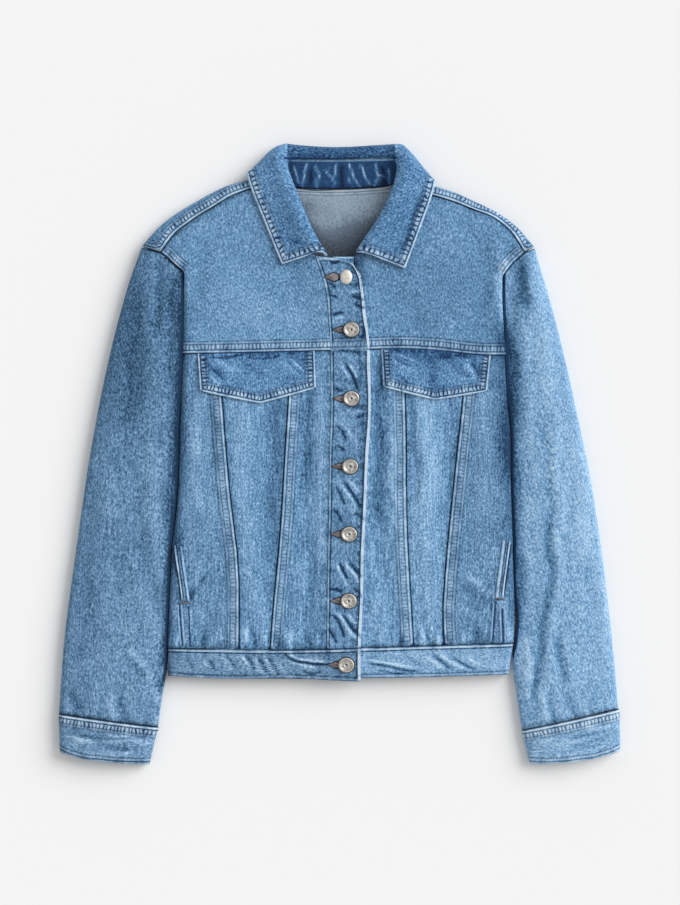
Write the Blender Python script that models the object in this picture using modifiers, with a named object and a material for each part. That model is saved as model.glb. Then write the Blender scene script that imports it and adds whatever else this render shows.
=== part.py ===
"""Denim jacket lying on its back, buttoned, sleeves at its sides.

Every cut-and-sewn piece is a wall of cloth. A piece starts as a flat grid that a loft bends to its place: the
grid is the plain inside of the cloth, and a Solidify modifier gives the thickness outwards, more under the laps
of the felled seams. Tables and loft functions work in millimetres; the meshes are in metres, +Z up, +Y towards
the collar. "Right" and "left" are the wearer's: the right side lies at -X.
"""

import math

import bmesh
import bpy
import numpy as np

MM = 0.001

# Cloth
CLOTH = 1.5            # one layer of denim
LAP = 0.8              # height of a felled seam over the cloth beside it
DOUBLE = 2.2           # plackets, flaps, cuffs and waistband are turned and doubled
GAP = 0.3              # between neighbouring pieces
CLEAR = 0.9            # between pieces along a curved seam
STEP = 0.5             # between a wall and the cloth it stands on
SEAM = 13.5            # width of a felled seam
THICKEST = 3.4         # full Solidify thickness, reached where the thickness weight is 1

# How the layers lie
TOP = 14.0             # inner face of the front above the table
OVERLAP = 2.6          # the right front rises this much to pass over the left placket
OVERLAP_RUN = 18.0     # width of that rise
COLLAR_UNDER = 2.3     # the back yoke rises this much over the collar leaf
UNDERARM = 45.0        # Y of the underarm point
SLEEVE_LOW = 11.0      # inner face of the sleeve beside the body
SLEEVE_SWELL = 2.2     # soft crown across the sleeve
SLEEVE_RAMP = 30.0     # width over which the sleeve rises beside the body
FLAP_SHADE = 0.834     # the lower front's felled seams are pressed flat above this share, under the flaps
# Columns of the yoke from placket to armhole, and rows round the shoulder fold, as shares
YOKE_COLUMNS = (0.0, 0.14, 0.32, 0.5, 0.68, 0.84, 1.0, 1.33, 1.66, 2.0)
ROLL_STEPS = (0.0, 0.17, 0.33, 0.5, 0.67, 0.83, 1.0)
INNER_ROLL = 5.0       # horizontal radius of the fold beside the body
COLLAR_WALL = 2.0      # the collar leaf is doubled
COLLAR_LOW = 2.1       # inner face of the leaf where it lies on the table

# Side folds of the body, (y, x of the right edge, x of the left edge)
SIDE_EDGE = (
    (-256.0, -195.3, 192.0),
    (-248.0, -195.3, 192.5),
    (-214.0, -194.4, 197.6),
    (-145.0, -191.7, 196.4),
    (-90.0, -188.3, 195.9),
    (-58.6, -183.4, 194.6),
    (-24.0, -181.5, 193.6),
    (28.0, -181.0, 193.0),
    (83.0, -178.6, 188.3),
    (112.0, -177.2, 187.3),
    (139.0, -177.0, 186.4),
    (168.0, -176.5, 184.5),
    (207.0, -176.0, 184.5),
)

# Felled seams of the fronts, (y, x beside the side fold, x beside the placket)
SEAMS_RIGHT = (
    (-218.0, -113.9, -78.4),
    (-170.0, -113.6, -74.8),
    (-130.0, -114.5, -70.9),
    (-90.0, -118.4, -67.5),
    (-50.0, -123.4, -64.6),
    (-10.0, -127.1, -62.5),
    (50.0, -132.0, -58.6),
    (116.0, -137.0, -55.5),
)
SEAMS_LEFT = (
    (-216.0, 118.4, 83.4),
    (-190.0, 116.9, 81.8),
    (-150.0, 118.2, 79.4),
    (-110.0, 121.5, 77.1),
    (-50.0, 127.4, 75.3),
    (10.0, 133.6, 75.0),
    (50.0, 138.0, 74.2),
    (116.0, 143.5, 72.5),
)

# Buttonhole placket, (y, x of its stitched edge, x of the front edge)
PLACKET = (
    (-257.0, -14.2, 22.3),
    (-217.0, -14.2, 22.3),
    (-167.0, -13.8, 24.8),
    (-117.0, -13.2, 25.6),
    (-68.0, -12.0, 28.0),
    (-1.0, -11.2, 30.6),
    (65.0, -9.4, 34.0),
    (98.5, -9.8, 32.6),
    (134.6, -10.9, 31.5),
    (156.0, -12.4, 28.0),
    (189.0, -15.8, 24.6),
    (208.0, -21.5, 21.0),
    (223.2, -27.2, 14.6),
)
UNDER_PLACKET_IN = -8.0   # the button placket starts here under the other
UNDER_PLACKET_OUT = 4.5   # and ends this far inside its front edge

# Seams across the fronts, (x, y)
CHEST_SEAM = (
    (-180.0, 113.8), (-90.0, 115.5), (-28.4, 117.0), (11.7, 118.0),
    (33.6, 118.7), (107.5, 118.0), (170.6, 112.2), (190.0, 112.6),
)
WAIST_SEAM = ((-196.0, -219.7), (0.0, -220.0), (30.0, -219.0), (198.0, -214.0))
HEM_RIGHT_EDGE = ((-196.0, -250.0), (-130.0, -254.0), (-60.0, -253.0), (0.0, -255.5), (23.0, -256.3))
HEM_LEFT_EDGE = ((-12.0, -252.4), (27.0, -252.6), (110.0, -251.2), (193.0, -248.6))

# Front neckline, from the placket to the shoulder seam, (x, y)
NECKLINE_RIGHT = ((-27.5, 222.3), (-35.0, 246.0), (-46.0, 270.0), (-56.5, 291.0), (-64.5, 303.5), (-72.0, 313.5))
NECKLINE_LEFT = (
    (16.8, 223.2), (24.6, 228.0), (37.0, 245.0), (49.0, 264.0), (60.5, 288.0), (66.5, 299.0), (72.0, 309.0),
)

# Forward shoulder seam, from the armhole to the neck, (x, y)
SHOULDER_SEAM_RIGHT = ((-201.4, 228.9), (-187.7, 248.3), (-173.0, 260.0), (-144.0, 278.5), (-112.6, 296.0),
                       (-99.0, 300.0), (-86.0, 305.0), (-72.0, 313.5))
SHOULDER_SEAM_LEFT = ((208.0, 228.9), (189.3, 256.0), (179.5, 264.0), (152.0, 275.6), (113.4, 290.0),
                      (98.0, 293.5), (85.0, 299.5), (72.0, 309.0))

# Shoulder fold, outermost points from the armhole to the neck, (x, y)
SHOULDER_FOLD_RIGHT = ((-223.9, 235.4), (-214.0, 249.5), (-202.4, 260.5), (-173.0, 280.2), (-144.0, 295.8),
                       (-114.0, 309.6), (-101.0, 310.6), (-90.0, 314.0), (-76.0, 325.0))
SHOULDER_FOLD_LEFT = ((220.8, 234.6), (211.5, 247.5), (199.0, 260.0), (185.0, 271.4), (152.0, 286.6),
                      (117.0, 301.6), (104.0, 302.2), (92.0, 307.0), (77.0, 322.0))

# Inward normal of the outline where shoulder, sleeve and armhole seam meet
CORNER_NORMAL = {"right": (0.95, -0.31), "left": (-0.91, -0.41)}

# Back armhole, (y, distance of the right seam from the middle, and of the left)
BACK_ARMHOLE = (
    (45.0, 181.8, 193.0),
    (70.0, 182.0, 191.6),
    (98.0, 183.6, 190.8),
    (124.0, 186.6, 191.2),
    (150.0, 190.5, 193.2),
    (172.0, 195.6, 196.6),
    (190.0, 200.4, 200.4),
    (204.0, 204.8, 204.0),
    (216.0, 209.3, 207.6),
    (231.0, 215.8, 212.8),
)
BACK_YOKE_SEAM = 150.0
BACK_NECK = 299.6

# Sleeves: a row across the sleeve for each line, from the armhole or inner edge to the outer edge, and the place
# of the row on the back armhole, (inner x, inner y, outer x, outer y, y on the back armhole)
SLEEVE_RIGHT = (
    (-214.2, 230.6, -224.4, 234.2, 229.0),
    (-208.4, 229.0, -233.0, 212.0, 216.0),
    (-202.0, 227.2, -240.0, 192.0, 204.0),
    (-189.5, 216.5, -246.0, 170.5, 190.0),
    (-176.0, 205.0, -252.0, 149.0, 172.0),
    (-174.1, 180.0, -259.0, 121.0, 150.0),
    (-174.6, 150.0, -266.5, 88.0, 124.0),
    (-175.2, 115.0, -273.5, 53.0, 98.0),
    (-177.0, 80.0, -280.0, 17.5, 70.0),
    (-182.2, 45.0, -286.0, -18.0, 45.0),
    (-183.2, 5.0, -291.5, -55.0, 5.0),
    (-185.2, -45.0, -297.5, -98.0, -45.0),
    (-190.6, -95.0, -303.5, -140.0, -95.0),
    (-193.9, -150.0, -309.0, -180.0, -150.0),
    (-196.2, -205.0, -313.5, -218.0, -205.0),
    (-197.6, -255.0, -315.8, -256.0, -255.0),
    (-205.4, -308.6, -318.3, -293.2, -308.6),
)
SLEEVE_LEFT = (
    (211.9, 228.9, 221.2, 233.2, 229.0),
    (207.0, 225.9, 227.3, 212.0, 216.0),
    (201.5, 221.3, 233.2, 193.0, 204.0),
    (194.0, 213.8, 239.2, 172.0, 190.0),
    (184.6, 201.0, 245.0, 150.0, 172.0),
    (182.2, 178.0, 252.2, 122.0, 150.0),
    (183.8, 150.0, 260.2, 88.0, 124.0),
    (185.2, 115.0, 268.5, 50.0, 98.0),
    (187.4, 80.0, 275.5, 16.0, 70.0),
    (194.0, 45.0, 282.5, -17.0, 45.0),
    (195.2, 5.0, 289.0, -55.0, 5.0),
    (196.0, -45.0, 295.5, -98.0, -45.0),
    (198.0, -95.0, 301.0, -140.0, -95.0),
    (198.9, -150.0, 306.0, -183.0, -150.0),
    (199.6, -205.0, 309.5, -215.0, -205.0),
    (196.2, -248.0, 312.7, -248.0, -248.0),
    (206.0, -312.4, 315.6, -287.6, -312.4),
)
CUFF_RIGHT_TOP = ((-205.2, -309.0), (-318.4, -293.6))
CUFF_RIGHT_EDGE = ((-214.6, -350.7), (-242.0, -349.6), (-270.0, -347.0), (-300.0, -342.4), (-317.4, -336.0))
CUFF_LEFT_TOP = ((206.2, -312.8), (316.8, -288.0))
CUFF_LEFT_EDGE = ((214.5, -350.2), (242.0, -349.8), (270.0, -346.8), (300.0, -341.2), (318.4, -334.6))

# Chest flaps, (x, y) of the corners: top outer, top inner, bottom inner, point, bottom outer
FLAP_RIGHT = ((-160.3, 112.0), (-28.4, 116.0), (-27.0, 74.5), (-89.7, 57.0), (-157.4, 71.0))
FLAP_LEFT = ((170.6, 110.5), (47.0, 117.0), (49.3, 75.7), (107.5, 61.0), (166.4, 70.8))

# Side-pocket welts, outer long edge from top to bottom, (y, inset from the side fold)
WELT_RIGHT = ((-103.0, 3.0), (-165.0, 14.6))
WELT_LEFT = ((-96.0, 3.0), (-161.0, 12.2))
WELT_WIDTH = 9.0

# Soft folds of the fronts, (x0, y0, x1, y1, half width, height)
FOLDS = (
    (-100.0, 62.0, -92.0, -150.0, 15.0, 1.3),
    (-152.0, 66.0, -158.0, -110.0, 11.0, 1.0),
    (-30.0, 70.0, -36.0, -170.0, 10.0, -0.9),
    (92.0, 58.0, 101.0, -160.0, 14.0, 1.3),
    (160.0, 64.0, 163.0, -90.0, 11.0, 1.0),
    (46.0, 108.0, 44.0, -190.0, 9.0, -1.0),
    (-165.0, 214.0, -70.0, 150.0, 18.0, 0.9),
    (168.0, 208.0, 80.0, 150.0, 18.0, 0.9),
)

# Collar leaf and stand, a line for each station from the front end to the middle of the back:
# N lower edge of the stand, S seam of stand and leaf, A innermost point of the fold, B its crest, M middle, E edge
COLLAR_RIGHT = (
    ((-16.2, 222.9, 19.2), (-17.0, 223.2, 19.8), (-15.2, 223.6, 21.0), (-20.0, 226.4, 22.2), (-42.0, 221.2, 19.0),
     (-65.2, 214.2, 17.0)),
    ((-33.6, 248.5, 16.2), (-31.6, 248.2, 18.4), (-30.6, 249.0, 20.4), (-34.0, 249.0, 22.8), (-54.0, 243.0, 19.6),
     (-75.0, 238.0, 17.0)),
    ((-46.0, 274.5, 16.2), (-43.0, 275.4, 18.4), (-41.8, 276.0, 20.6), (-45.5, 276.0, 23.2), (-64.0, 270.0, 20.0),
     (-86.0, 265.5, 17.0)),
    ((-60.0, 301.5, 16.4), (-54.6, 302.6, 18.6), (-52.9, 303.0, 20.8), (-56.6, 303.5, 23.6), (-75.0, 297.5, 20.5),
     (-97.0, 292.0, 17.4)),
    ((-66.0, 314.0, 16.4), (-60.6, 318.6, 18.4), (-59.4, 321.0, 20.8), (-63.2, 322.0, 23.4), (-80.5, 313.5, 20.8),
     (-101.8, 306.0, 17.6)),
    ((-67.0, 318.8, 15.6), (-58.5, 330.5, 17.2), (-61.2, 337.5, 20.2), (-65.0, 339.5, 21.8), (-84.0, 326.5, 19.6),
     (-103.9, 313.6, 15.8)),
    ((-70.4, 323.6, 10.4), (-55.5, 333.0, 15.4), (-60.0, 345.4, 17.2), (-65.0, 348.6, 14.0), (-85.5, 331.8, 11.5),
     (-104.2, 315.8, 9.5)),
    ((-64.4, 313.6, 6.4), (-50.0, 334.0, 14.0), (-52.0, 345.0, 15.4), (-56.0, 349.0, 9.5), (-78.0, 333.0, 4.6),
     (-99.5, 316.0, 2.8)),
    ((-54.5, 302.4, 5.8), (-42.0, 334.0, 13.4), (-43.0, 343.5, 14.8), (-45.0, 348.6, 8.4), (-60.0, 326.0, 2.4),
     (-82.0, 295.0, 2.2)),
    ((-29.0, 301.0, 5.4), (-20.0, 334.0, 13.0), (-20.5, 342.5, 14.4), (-21.5, 347.0, 8.2), (-28.0, 322.0, 2.2),
     (-38.0, 289.0, 2.2)),
    ((0.0, 300.8, 5.4), (0.0, 334.0, 13.0), (0.0, 342.0, 14.4), (0.0, 346.6, 8.2), (0.0, 322.0, 2.2),
     (0.0, 288.0, 2.2)),
)
COLLAR_LEFT = (
    ((20.6, 226.6, 16.8), (21.4, 226.8, 17.6), (19.8, 227.4, 19.2), (25.0, 227.0, 21.0), (47.0, 219.8, 18.8),
     (73.8, 209.6, 17.0)),
    ((36.0, 246.0, 16.2), (33.4, 245.8, 18.0), (31.8, 246.4, 19.8), (35.5, 246.0, 22.2), (57.0, 238.0, 19.6),
     (82.0, 231.5, 17.0)),
    ((48.6, 265.0, 16.2), (45.8, 264.0, 18.2), (44.2, 264.4, 20.4), (48.5, 264.0, 23.0), (69.0, 257.5, 20.0),
     (91.8, 258.0, 17.0)),
    ((63.4, 296.5, 16.4), (61.4, 297.0, 18.6), (60.2, 297.4, 20.8), (64.0, 298.0, 23.6), (82.0, 291.5, 20.6),
     (101.6, 284.5, 17.4)),
    ((68.0, 312.5, 16.4), (66.6, 317.0, 18.4), (66.0, 319.0, 20.8), (70.0, 319.8, 23.2), (87.0, 309.0, 20.8),
     (105.2, 297.0, 17.6)),
    ((69.0, 317.2, 15.6), (63.8, 331.0, 17.2), (66.0, 338.0, 20.2), (69.6, 339.6, 21.6), (88.0, 321.5, 19.6),
     (107.2, 304.0, 15.8)),
    ((71.4, 321.8, 10.4), (58.0, 335.0, 15.4), (63.0, 345.6, 17.2), (66.5, 347.6, 14.0), (88.5, 327.0, 11.5),
     (107.6, 306.3, 9.5)),
    ((65.4, 312.6, 6.4), (50.0, 336.0, 14.0), (53.0, 345.2, 15.4), (56.5, 348.8, 9.5), (81.0, 328.5, 4.6),
     (102.5, 306.8, 2.8)),
    ((56.5, 304.2, 5.8), (42.0, 335.6, 13.4), (43.0, 344.2, 14.8), (45.0, 349.0, 8.4), (61.0, 325.0, 2.4),
     (84.0, 291.0, 2.2)),
    ((29.0, 302.0, 5.4), (20.0, 334.8, 13.0), (20.5, 342.8, 14.4), (21.5, 347.6, 8.2), (28.0, 322.0, 2.2),
     (38.0, 288.0, 2.2)),
)

# Jeans buttons, (x, y) from the neck to the waistband
BUTTONS = ((7.4, 199.7), (13.2, 140.4), (13.2, 62.8), (11.9, -13.8), (10.7, -90.2), (10.2, -165.5), (7.4, -237.6))
BUTTON_PROFILE = ((0.0, 3.3), (3.0, 3.1), (4.3, 4.3), (7.3, 3.9), (8.5, 2.2), (7.2, 0.0), (0.0, 0.0))

COLOURS = {
    "denim": (0.16, 0.33, 0.56),
    "metal": (0.62, 0.58, 0.52),
}


# ---- curves -------------------------------------------------------------------------------------------------------

def hermite(knots, points, at):
    """Smooth curve through points at rising knots."""
    steps = np.diff(knots)
    slopes = np.diff(points, axis=0) / steps[:, None]
    tangents = np.empty_like(points)
    tangents[0] = slopes[0]
    tangents[-1] = slopes[-1]
    before = steps[:-1, None]
    after = steps[1:, None]
    tangents[1:-1] = (slopes[1:] * before + slopes[:-1] * after) / (before + after)
    k = int(np.clip(np.searchsorted(knots, at) - 1, 0, len(steps) - 1))
    h = steps[k]
    s = min(max((at - knots[k]) / h, 0.0), 1.0)
    a = points[k] + tangents[k] * h * s
    b = points[k + 1] - tangents[k + 1] * h * (1.0 - s)
    blend = s * s * (3.0 - 2.0 * s)
    return a * (1.0 - blend) + b * blend


def graph(rows):
    """Function of the first column that gives the other columns."""
    rows = np.array(sorted(rows), dtype=float)
    single = rows.shape[1] == 2
    return lambda at: float(hermite(rows[:, 0], rows[:, 1:], at)[0]) if single else hermite(rows[:, 0], rows[:, 1:], at)


def path(points):
    """Function of 0 to 1, by chord length, along points."""
    points = np.array(points, dtype=float)
    knots = np.concatenate(([0.0], np.cumsum(np.linalg.norm(np.diff(points, axis=0), axis=1))))
    return lambda t: hermite(knots / knots[-1], points, t)


def smooth(a):
    a = min(max(a, 0.0), 1.0)
    return a * a * (3.0 - 2.0 * a)


def lerp(a, b, t):
    return a + (b - a) * t


def spread(*marks, steps):
    """Parameters through marks, with a number of steps in each interval."""
    out = [marks[0]]
    for a, b, n in zip(marks, marks[1:], steps):
        out += [lerp(a, b, (k + 1) / n) for k in range(n)]
    return out


side_edge = graph(SIDE_EDGE)
seams_right = graph(SEAMS_RIGHT)
seams_left = graph(SEAMS_LEFT)
placket_edges = graph(PLACKET)
chest_seam = graph(CHEST_SEAM)
waist_seam = graph(WAIST_SEAM)
hem_edges = {"right": graph(HEM_RIGHT_EDGE), "left": graph(HEM_LEFT_EDGE)}
back_armhole = graph(BACK_ARMHOLE)
SIGN = {"right": -1.0, "left": 1.0}


# ---- how the layers lie -------------------------------------------------------------------------------------------

def folds(x, y):
    """Height of the soft folds of the front at a point."""
    height = 0.0
    for x0, y0, x1, y1, half, tall in FOLDS:
        dx, dy = x1 - x0, y1 - y0
        along = ((x - x0) * dx + (y - y0) * dy) / (dx * dx + dy * dy)
        aside = ((x - x0) * dy - (y - y0) * dx) / math.hypot(dx, dy)
        if abs(aside) < half:
            ends = smooth(along / 0.2 + 0.4) * smooth((1.0 - along) / 0.35 + 0.3)
            height += tall * ends * math.cos(0.5 * math.pi * aside / half) ** 2
    return height


def front_height(side, x, y):
    """Inner face of a front above the table."""
    height = TOP + folds(x, y)
    if side == "right":
        height += OVERLAP * smooth((x - placket_edges(y)[0]) / OVERLAP_RUN + 0.85)
    return height


def under_edge(y):
    """Free edge of the left front under the buttonhole placket, which meets the neckline at its top."""
    return lerp(placket_edges(y)[1] - UNDER_PLACKET_OUT, NECKLINE_LEFT[0][0] - CLEAR, smooth((y - 186.0) / 32.0))


def armhole_of(side, y):
    """Distance of the back armhole seam from the middle."""
    return back_armhole(y)[0 if side == "right" else 1]


def edge_of(side, y):
    """Distance of the side fold from the middle."""
    return abs(side_edge(y)[0 if side == "right" else 1])


def roll_radius(wall):
    return 0.5 * (TOP - wall)


def side_roll(y, wall, w):
    """Point of the side fold at w (0 at its start on the front, 1 at its end), (outwards, height)."""
    radius = roll_radius(wall)
    middle = wall + radius
    turn = math.pi / 3.0 * w
    armhole = np.array((radius * math.sin(turn), middle + radius * math.cos(turn)))
    turn = math.pi / 2.0 * w
    foot = wall + STEP
    underarm = np.array((radius * math.sin(turn), foot + (TOP - foot) * math.cos(turn)))
    turn = math.pi * w
    full = np.array((radius * math.sin(turn), middle + radius * math.cos(turn)))
    if y >= UNDERARM:
        return lerp(underarm, armhole, smooth((y - UNDERARM) / 22.0))
    return lerp(underarm, full, smooth((UNDERARM - y) / 26.0))


def tucked(y):
    """How far the side seam lies under the side fold, from 0 at the underarm to 1 below it."""
    return smooth((UNDERARM - y) / 26.0)


def parted(y):
    """The same for the cloth on the table, which parts a little higher than the folds above it."""
    return smooth((UNDERARM + 9.0 - y) / 24.0)


# ---- meshes -------------------------------------------------------------------------------------------------------

def new_object(name, mesh, material):
    obj = bpy.data.objects.new(name, mesh)
    jacket.objects.link(obj)
    mesh.materials.append(materials[material])
    return obj


def cloth(name, sheets, faces_up=True, welded=False, material="denim"):
    """Wall of cloth on lofted grids. A sheet is rows of points (x, y, z, thickness) on the inside of the cloth."""
    bm = bmesh.new()
    deform = bm.verts.layers.deform.verify()
    for sheet in sheets:
        sheet = np.array(sheet, dtype=float)
        rows, columns = sheet.shape[:2]
        made = bmesh.ops.create_grid(bm, x_segments=columns - 1, y_segments=rows - 1, size=1.0)
        for v in made["verts"]:
            j = round((v.co.x + 1.0) * 0.5 * (columns - 1))
            i = round((v.co.y + 1.0) * 0.5 * (rows - 1))
            x, y, z, thick = sheet[i, j]
            v.co = (x * MM, y * MM, z * MM)
            v[deform][0] = (thick - CLOTH * 0.5) / (THICKEST - CLOTH * 0.5)
    if len(sheets) > 1 or welded:
        bmesh.ops.remove_doubles(bm, verts=bm.verts, dist=0.00002)
    bmesh.ops.recalc_face_normals(bm, faces=bm.faces)
    top = max(bm.faces, key=lambda f: f.calc_center_median().z if faces_up else -f.calc_center_median().z)
    if (top.normal.z > 0.0) != faces_up:
        bmesh.ops.reverse_faces(bm, faces=bm.faces)
    for face in bm.faces:
        face.smooth = True
    mesh = bpy.data.meshes.new(name)
    bm.to_mesh(mesh)
    bm.free()
    obj = new_object(name, mesh, material)
    obj.vertex_groups.new(name="thickness")
    wall = obj.modifiers.new("wall", "SOLIDIFY")
    wall.thickness = THICKEST * MM
    wall.offset = 1.0
    wall.vertex_group = "thickness"
    wall.thickness_vertex_group = CLOTH * 0.5 / THICKEST
    return obj


# ---- fronts -------------------------------------------------------------------------------------------------------

LOWER_ROWS = spread(0.0, FLAP_SHADE, FLAP_SHADE + 0.014, 1.0, steps=(7, 1, 2))


def seam_thickness(on_lap, v):
    return CLOTH + LAP if on_lap and v <= FLAP_SHADE + 0.001 else CLOTH


def lower_y(x, v):
    """Y on a lower front panel, v from the waist seam to the chest seam."""
    return lerp(waist_seam(x) + GAP, chest_seam(x) - CLEAR, v)


def front_centre(side):
    s = SIGN[side]
    sheet = []
    for v in LOWER_ROWS:
        y0 = lerp(-219.0, 117.5, v)
        seam = (seams_right if side == "right" else seams_left)(y0)[1]
        if side == "right":
            inner = placket_edges(y0)[0] - CLEAR
        else:
            inner = under_edge(y0) + CLEAR
        row = []
        lap_end = seam - s * SEAM
        for x, lap in ((seam, True), (lap_end + s * 0.4, True), (lap_end - s * 0.4, False),
                       (lerp(lap_end, inner, 0.5), False), (lerp(lap_end, inner, 0.8), False), (inner, False)):
            y = lower_y(x, v)
            row.append((x, y, front_height(side, x, y), seam_thickness(lap, v)))
        sheet.append(row)
    cloth("front_centre_" + side, [sheet])


def front_middle(side):
    s = SIGN[side]
    sheet = []
    for v in LOWER_ROWS:
        y0 = lerp(-219.0, 115.0, v)
        outer, inner = (seams_right if side == "right" else seams_left)(y0)
        row = []
        for u in spread(0.0, 1.0, steps=(5,)):
            x = lerp(outer - s * GAP, inner + s * GAP, u)
            y = lower_y(x, v)
            row.append((x, y, front_height(side, x, y), CLOTH))
        sheet.append(row)
    cloth("front_middle_" + side, [sheet])


def side_point(side, y, start, a, wall=CLOTH):
    """Point across a side panel: a from 0 at start to 1 where the side fold begins, and on to 2 at its end."""
    s = SIGN[side]
    flat_end = s * (edge_of(side, y) - wall - roll_radius(wall))
    if a <= 1.0:
        x = lerp(start, flat_end, a)
        return x, front_height(side, x, y)
    out, z = side_roll(y, wall, a - 1.0)
    fade = 1.0 - smooth((a - 1.0) * 1.5)
    return flat_end + s * out, z + folds(flat_end, y) * fade


def front_side(side):
    sheet = []
    for v in spread(0.0, 0.69, 0.79, FLAP_SHADE, FLAP_SHADE + 0.014, 1.0, steps=(6, 4, 1, 1, 2)):
        y0 = lerp(-219.0, 113.5, v)
        seam = (seams_right if side == "right" else seams_left)(y0)[0]
        width = edge_of(side, y0) - CLOTH - roll_radius(CLOTH) - abs(seam)
        row = []
        for a, lap in ((0.0, True), ((SEAM - 0.4) / width, True), ((SEAM + 0.4) / width, False), (0.6, False),
                       (1.0, False), (1.2, False), (1.4, False), (1.6, False), (1.8, False), (2.0, False)):
            x = side_point(side, y0, seam, a)[0]
            y = lower_y(x, v)
            z = side_point(side, y, seam, a)[1]
            row.append((x, y, z, seam_thickness(lap, v)))
        sheet.append(row)
    cloth("front_side_" + side, [sheet])


def front_yoke(side):
    s = SIGN[side]
    neck = path(NECKLINE_RIGHT if side == "right" else NECKLINE_LEFT)
    seam = path(SHOULDER_SEAM_RIGHT if side == "right" else SHOULDER_SEAM_LEFT)
    armhole_top = (SLEEVE_RIGHT if side == "right" else SLEEVE_LEFT)[4]
    corner = np.array((armhole_top[0] - s * 1.5, armhole_top[1] + 1.5))
    shoulder = np.array(seam(0.0)) - (0.4 * s, 0.4)
    foot = 116.0
    sheet = []
    rows = spread(0.0, 0.085, 0.095, 0.6, 1.0, steps=(1, 1, 4, 5))
    for v in rows:
        if v <= 0.6:
            y0 = lerp(foot, neck(0.0)[1], v / 0.6)
            inner = placket_edges(y0)[0] - CLEAR if side == "right" else under_edge(y0) + CLEAR
            start = np.array((inner, y0))
            y_out = lerp(foot, armhole_top[1] + 1.5, v / 0.6)
            end = np.array((s * (edge_of(side, y_out) - CLOTH), y_out))
            turn = math.pi / 3.0 * (1.0 - 0.3 * smooth((y_out - 190.0) / 16.0))
        else:
            t = (v - 0.6) / 0.4
            start = neck(t)
            end = lerp(corner, shoulder, t)
            turn = lerp(0.1, math.pi / 3.0 * 0.7, (1.0 - t) ** 1.5)
        radius = roll_radius(CLOTH)
        reach = max(radius * math.sin(turn), 0.01)
        run = end - start
        length = float(np.linalg.norm(run))
        flat = 1.0 - reach / length
        row = []
        for a in YOKE_COLUMNS:
            if a <= 1.0:
                at, drop = a * flat, 0.0
            else:
                at = flat + radius * math.sin(turn * (a - 1.0)) / length
                drop = radius * (1.0 - math.cos(turn * (a - 1.0)))
            point = start + run * at
            if v > 0.6:
                bulge = seam(1.0 - at) - (seam(1.0) + (seam(0.0) - seam(1.0)) * at)
                point = point + bulge * ((v - 0.6) / 0.4) ** 2
            x, y = point
            if v < 0.6:
                y += (chest_seam(x) - foot) * (1.0 - v / 0.6)
            z = front_height(side, x, y) - drop
            lap = LAP if abs(x) < 50.0 else LAP + 0.4
            row.append((x, y, z, CLOTH + lap if v < 0.09 else CLOTH))
        sheet.append(row)
    cloth("front_yoke_" + side, [sheet])


def placket_right():
    sheet = []
    for y in spread(WAIST_SEAM[1][1], 118.0, 121.0, 205.0, 223.2, steps=(10, 1, 4, 3)):
        left, right = placket_edges(y)
        row = []
        for a, thick in ((0.0, DOUBLE), (0.12, DOUBLE), (0.5, DOUBLE - 0.2), (0.88, DOUBLE), (1.0, DOUBLE)):
            x = lerp(left, right, a)
            y_here = max(y, waist_seam(x) + GAP) - 7.6 * a * a * smooth((y - 195.0) / 28.0)
            row.append((x, y_here, front_height("right", x, y_here), thick))
        sheet.append(row)
    cloth("placket_right", [sheet])


def placket_left():
    sheet = []
    for y in spread(WAIST_SEAM[1][1], 118.0, 222.8, steps=(7, 6)):
        outer = under_edge(y)
        row = []
        for a in (0.0, 0.5, 1.0):
            x = lerp(UNDER_PLACKET_IN, outer, a)
            y_here = max(y, waist_seam(x) + GAP)
            row.append((x, y_here, TOP + folds(x, y_here), DOUBLE))
        sheet.append(row)
    cloth("placket_left", [sheet])


def flap(side):
    """Chest flap on the lower front, its top edge tucked under the lap of the yoke."""
    top_out, top_in, low_in, point, low_out = [np.array(p) for p in (FLAP_RIGHT if side == "right" else FLAP_LEFT)]
    sheet = []
    for v in (0.0, 0.12, 0.4, 0.7, 0.86, 1.0):
        row = []
        for u in (0.0, 0.03, 0.1, 0.25, 0.4, 0.5, 0.6, 0.75, 0.9, 0.97, 1.0):
            low = lerp(low_out, point, u * 2.0) if u < 0.5 else lerp(point, low_in, u * 2.0 - 1.0)
            round_off = 1.6 * max(0.0, 1.0 - min(u, 1.0 - u) / 0.06) ** 2 + 0.4 * max(0.0, 1.0 - abs(u - 0.5) / 0.08)
            top = lerp(top_out, top_in, u)
            top = np.array((top[0], chest_seam(top[0]) - GAP))
            x, y = lerp(top, low + (0.0, round_off), v)
            z = front_height(side, x, y) + CLOTH + GAP + 0.5 * smooth(v)
            row.append((x, y, z, lerp(1.0, DOUBLE, smooth(v / 0.12))))
        sheet.append(row)
    cloth("flap_" + side, [sheet])


def welt(side):
    """Side-pocket welt, laid on the side panel round the start of the side fold."""
    (y_top, in_top), (y_low, in_low) = WELT_RIGHT if side == "right" else WELT_LEFT
    s = SIGN[side]
    radius = roll_radius(CLOTH) + CLOTH + GAP
    middle = CLOTH + roll_radius(CLOTH)
    sheet = []
    for v in spread(0.0, 1.0, steps=(6,)):
        y = lerp(y_top, y_low, v)
        inset = lerp(in_top, in_low, v)
        flat_end = edge_of(side, y) - CLOTH - roll_radius(CLOTH)
        row = []
        for w in (0.0, 0.33, 0.66, 1.0):
            out = edge_of(side, y) - inset - WELT_WIDTH * w - flat_end
            if out > 0.0:
                turn = math.asin(min(out / radius, 0.97))
                z = middle + radius * math.cos(turn)
            else:
                z = middle + radius
            x = s * (flat_end + out)
            row.append((x, y - 1.5 * w, z + folds(x, y), 1.2))
        sheet.append(row)
    cloth("welt_" + side, [sheet])


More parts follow.
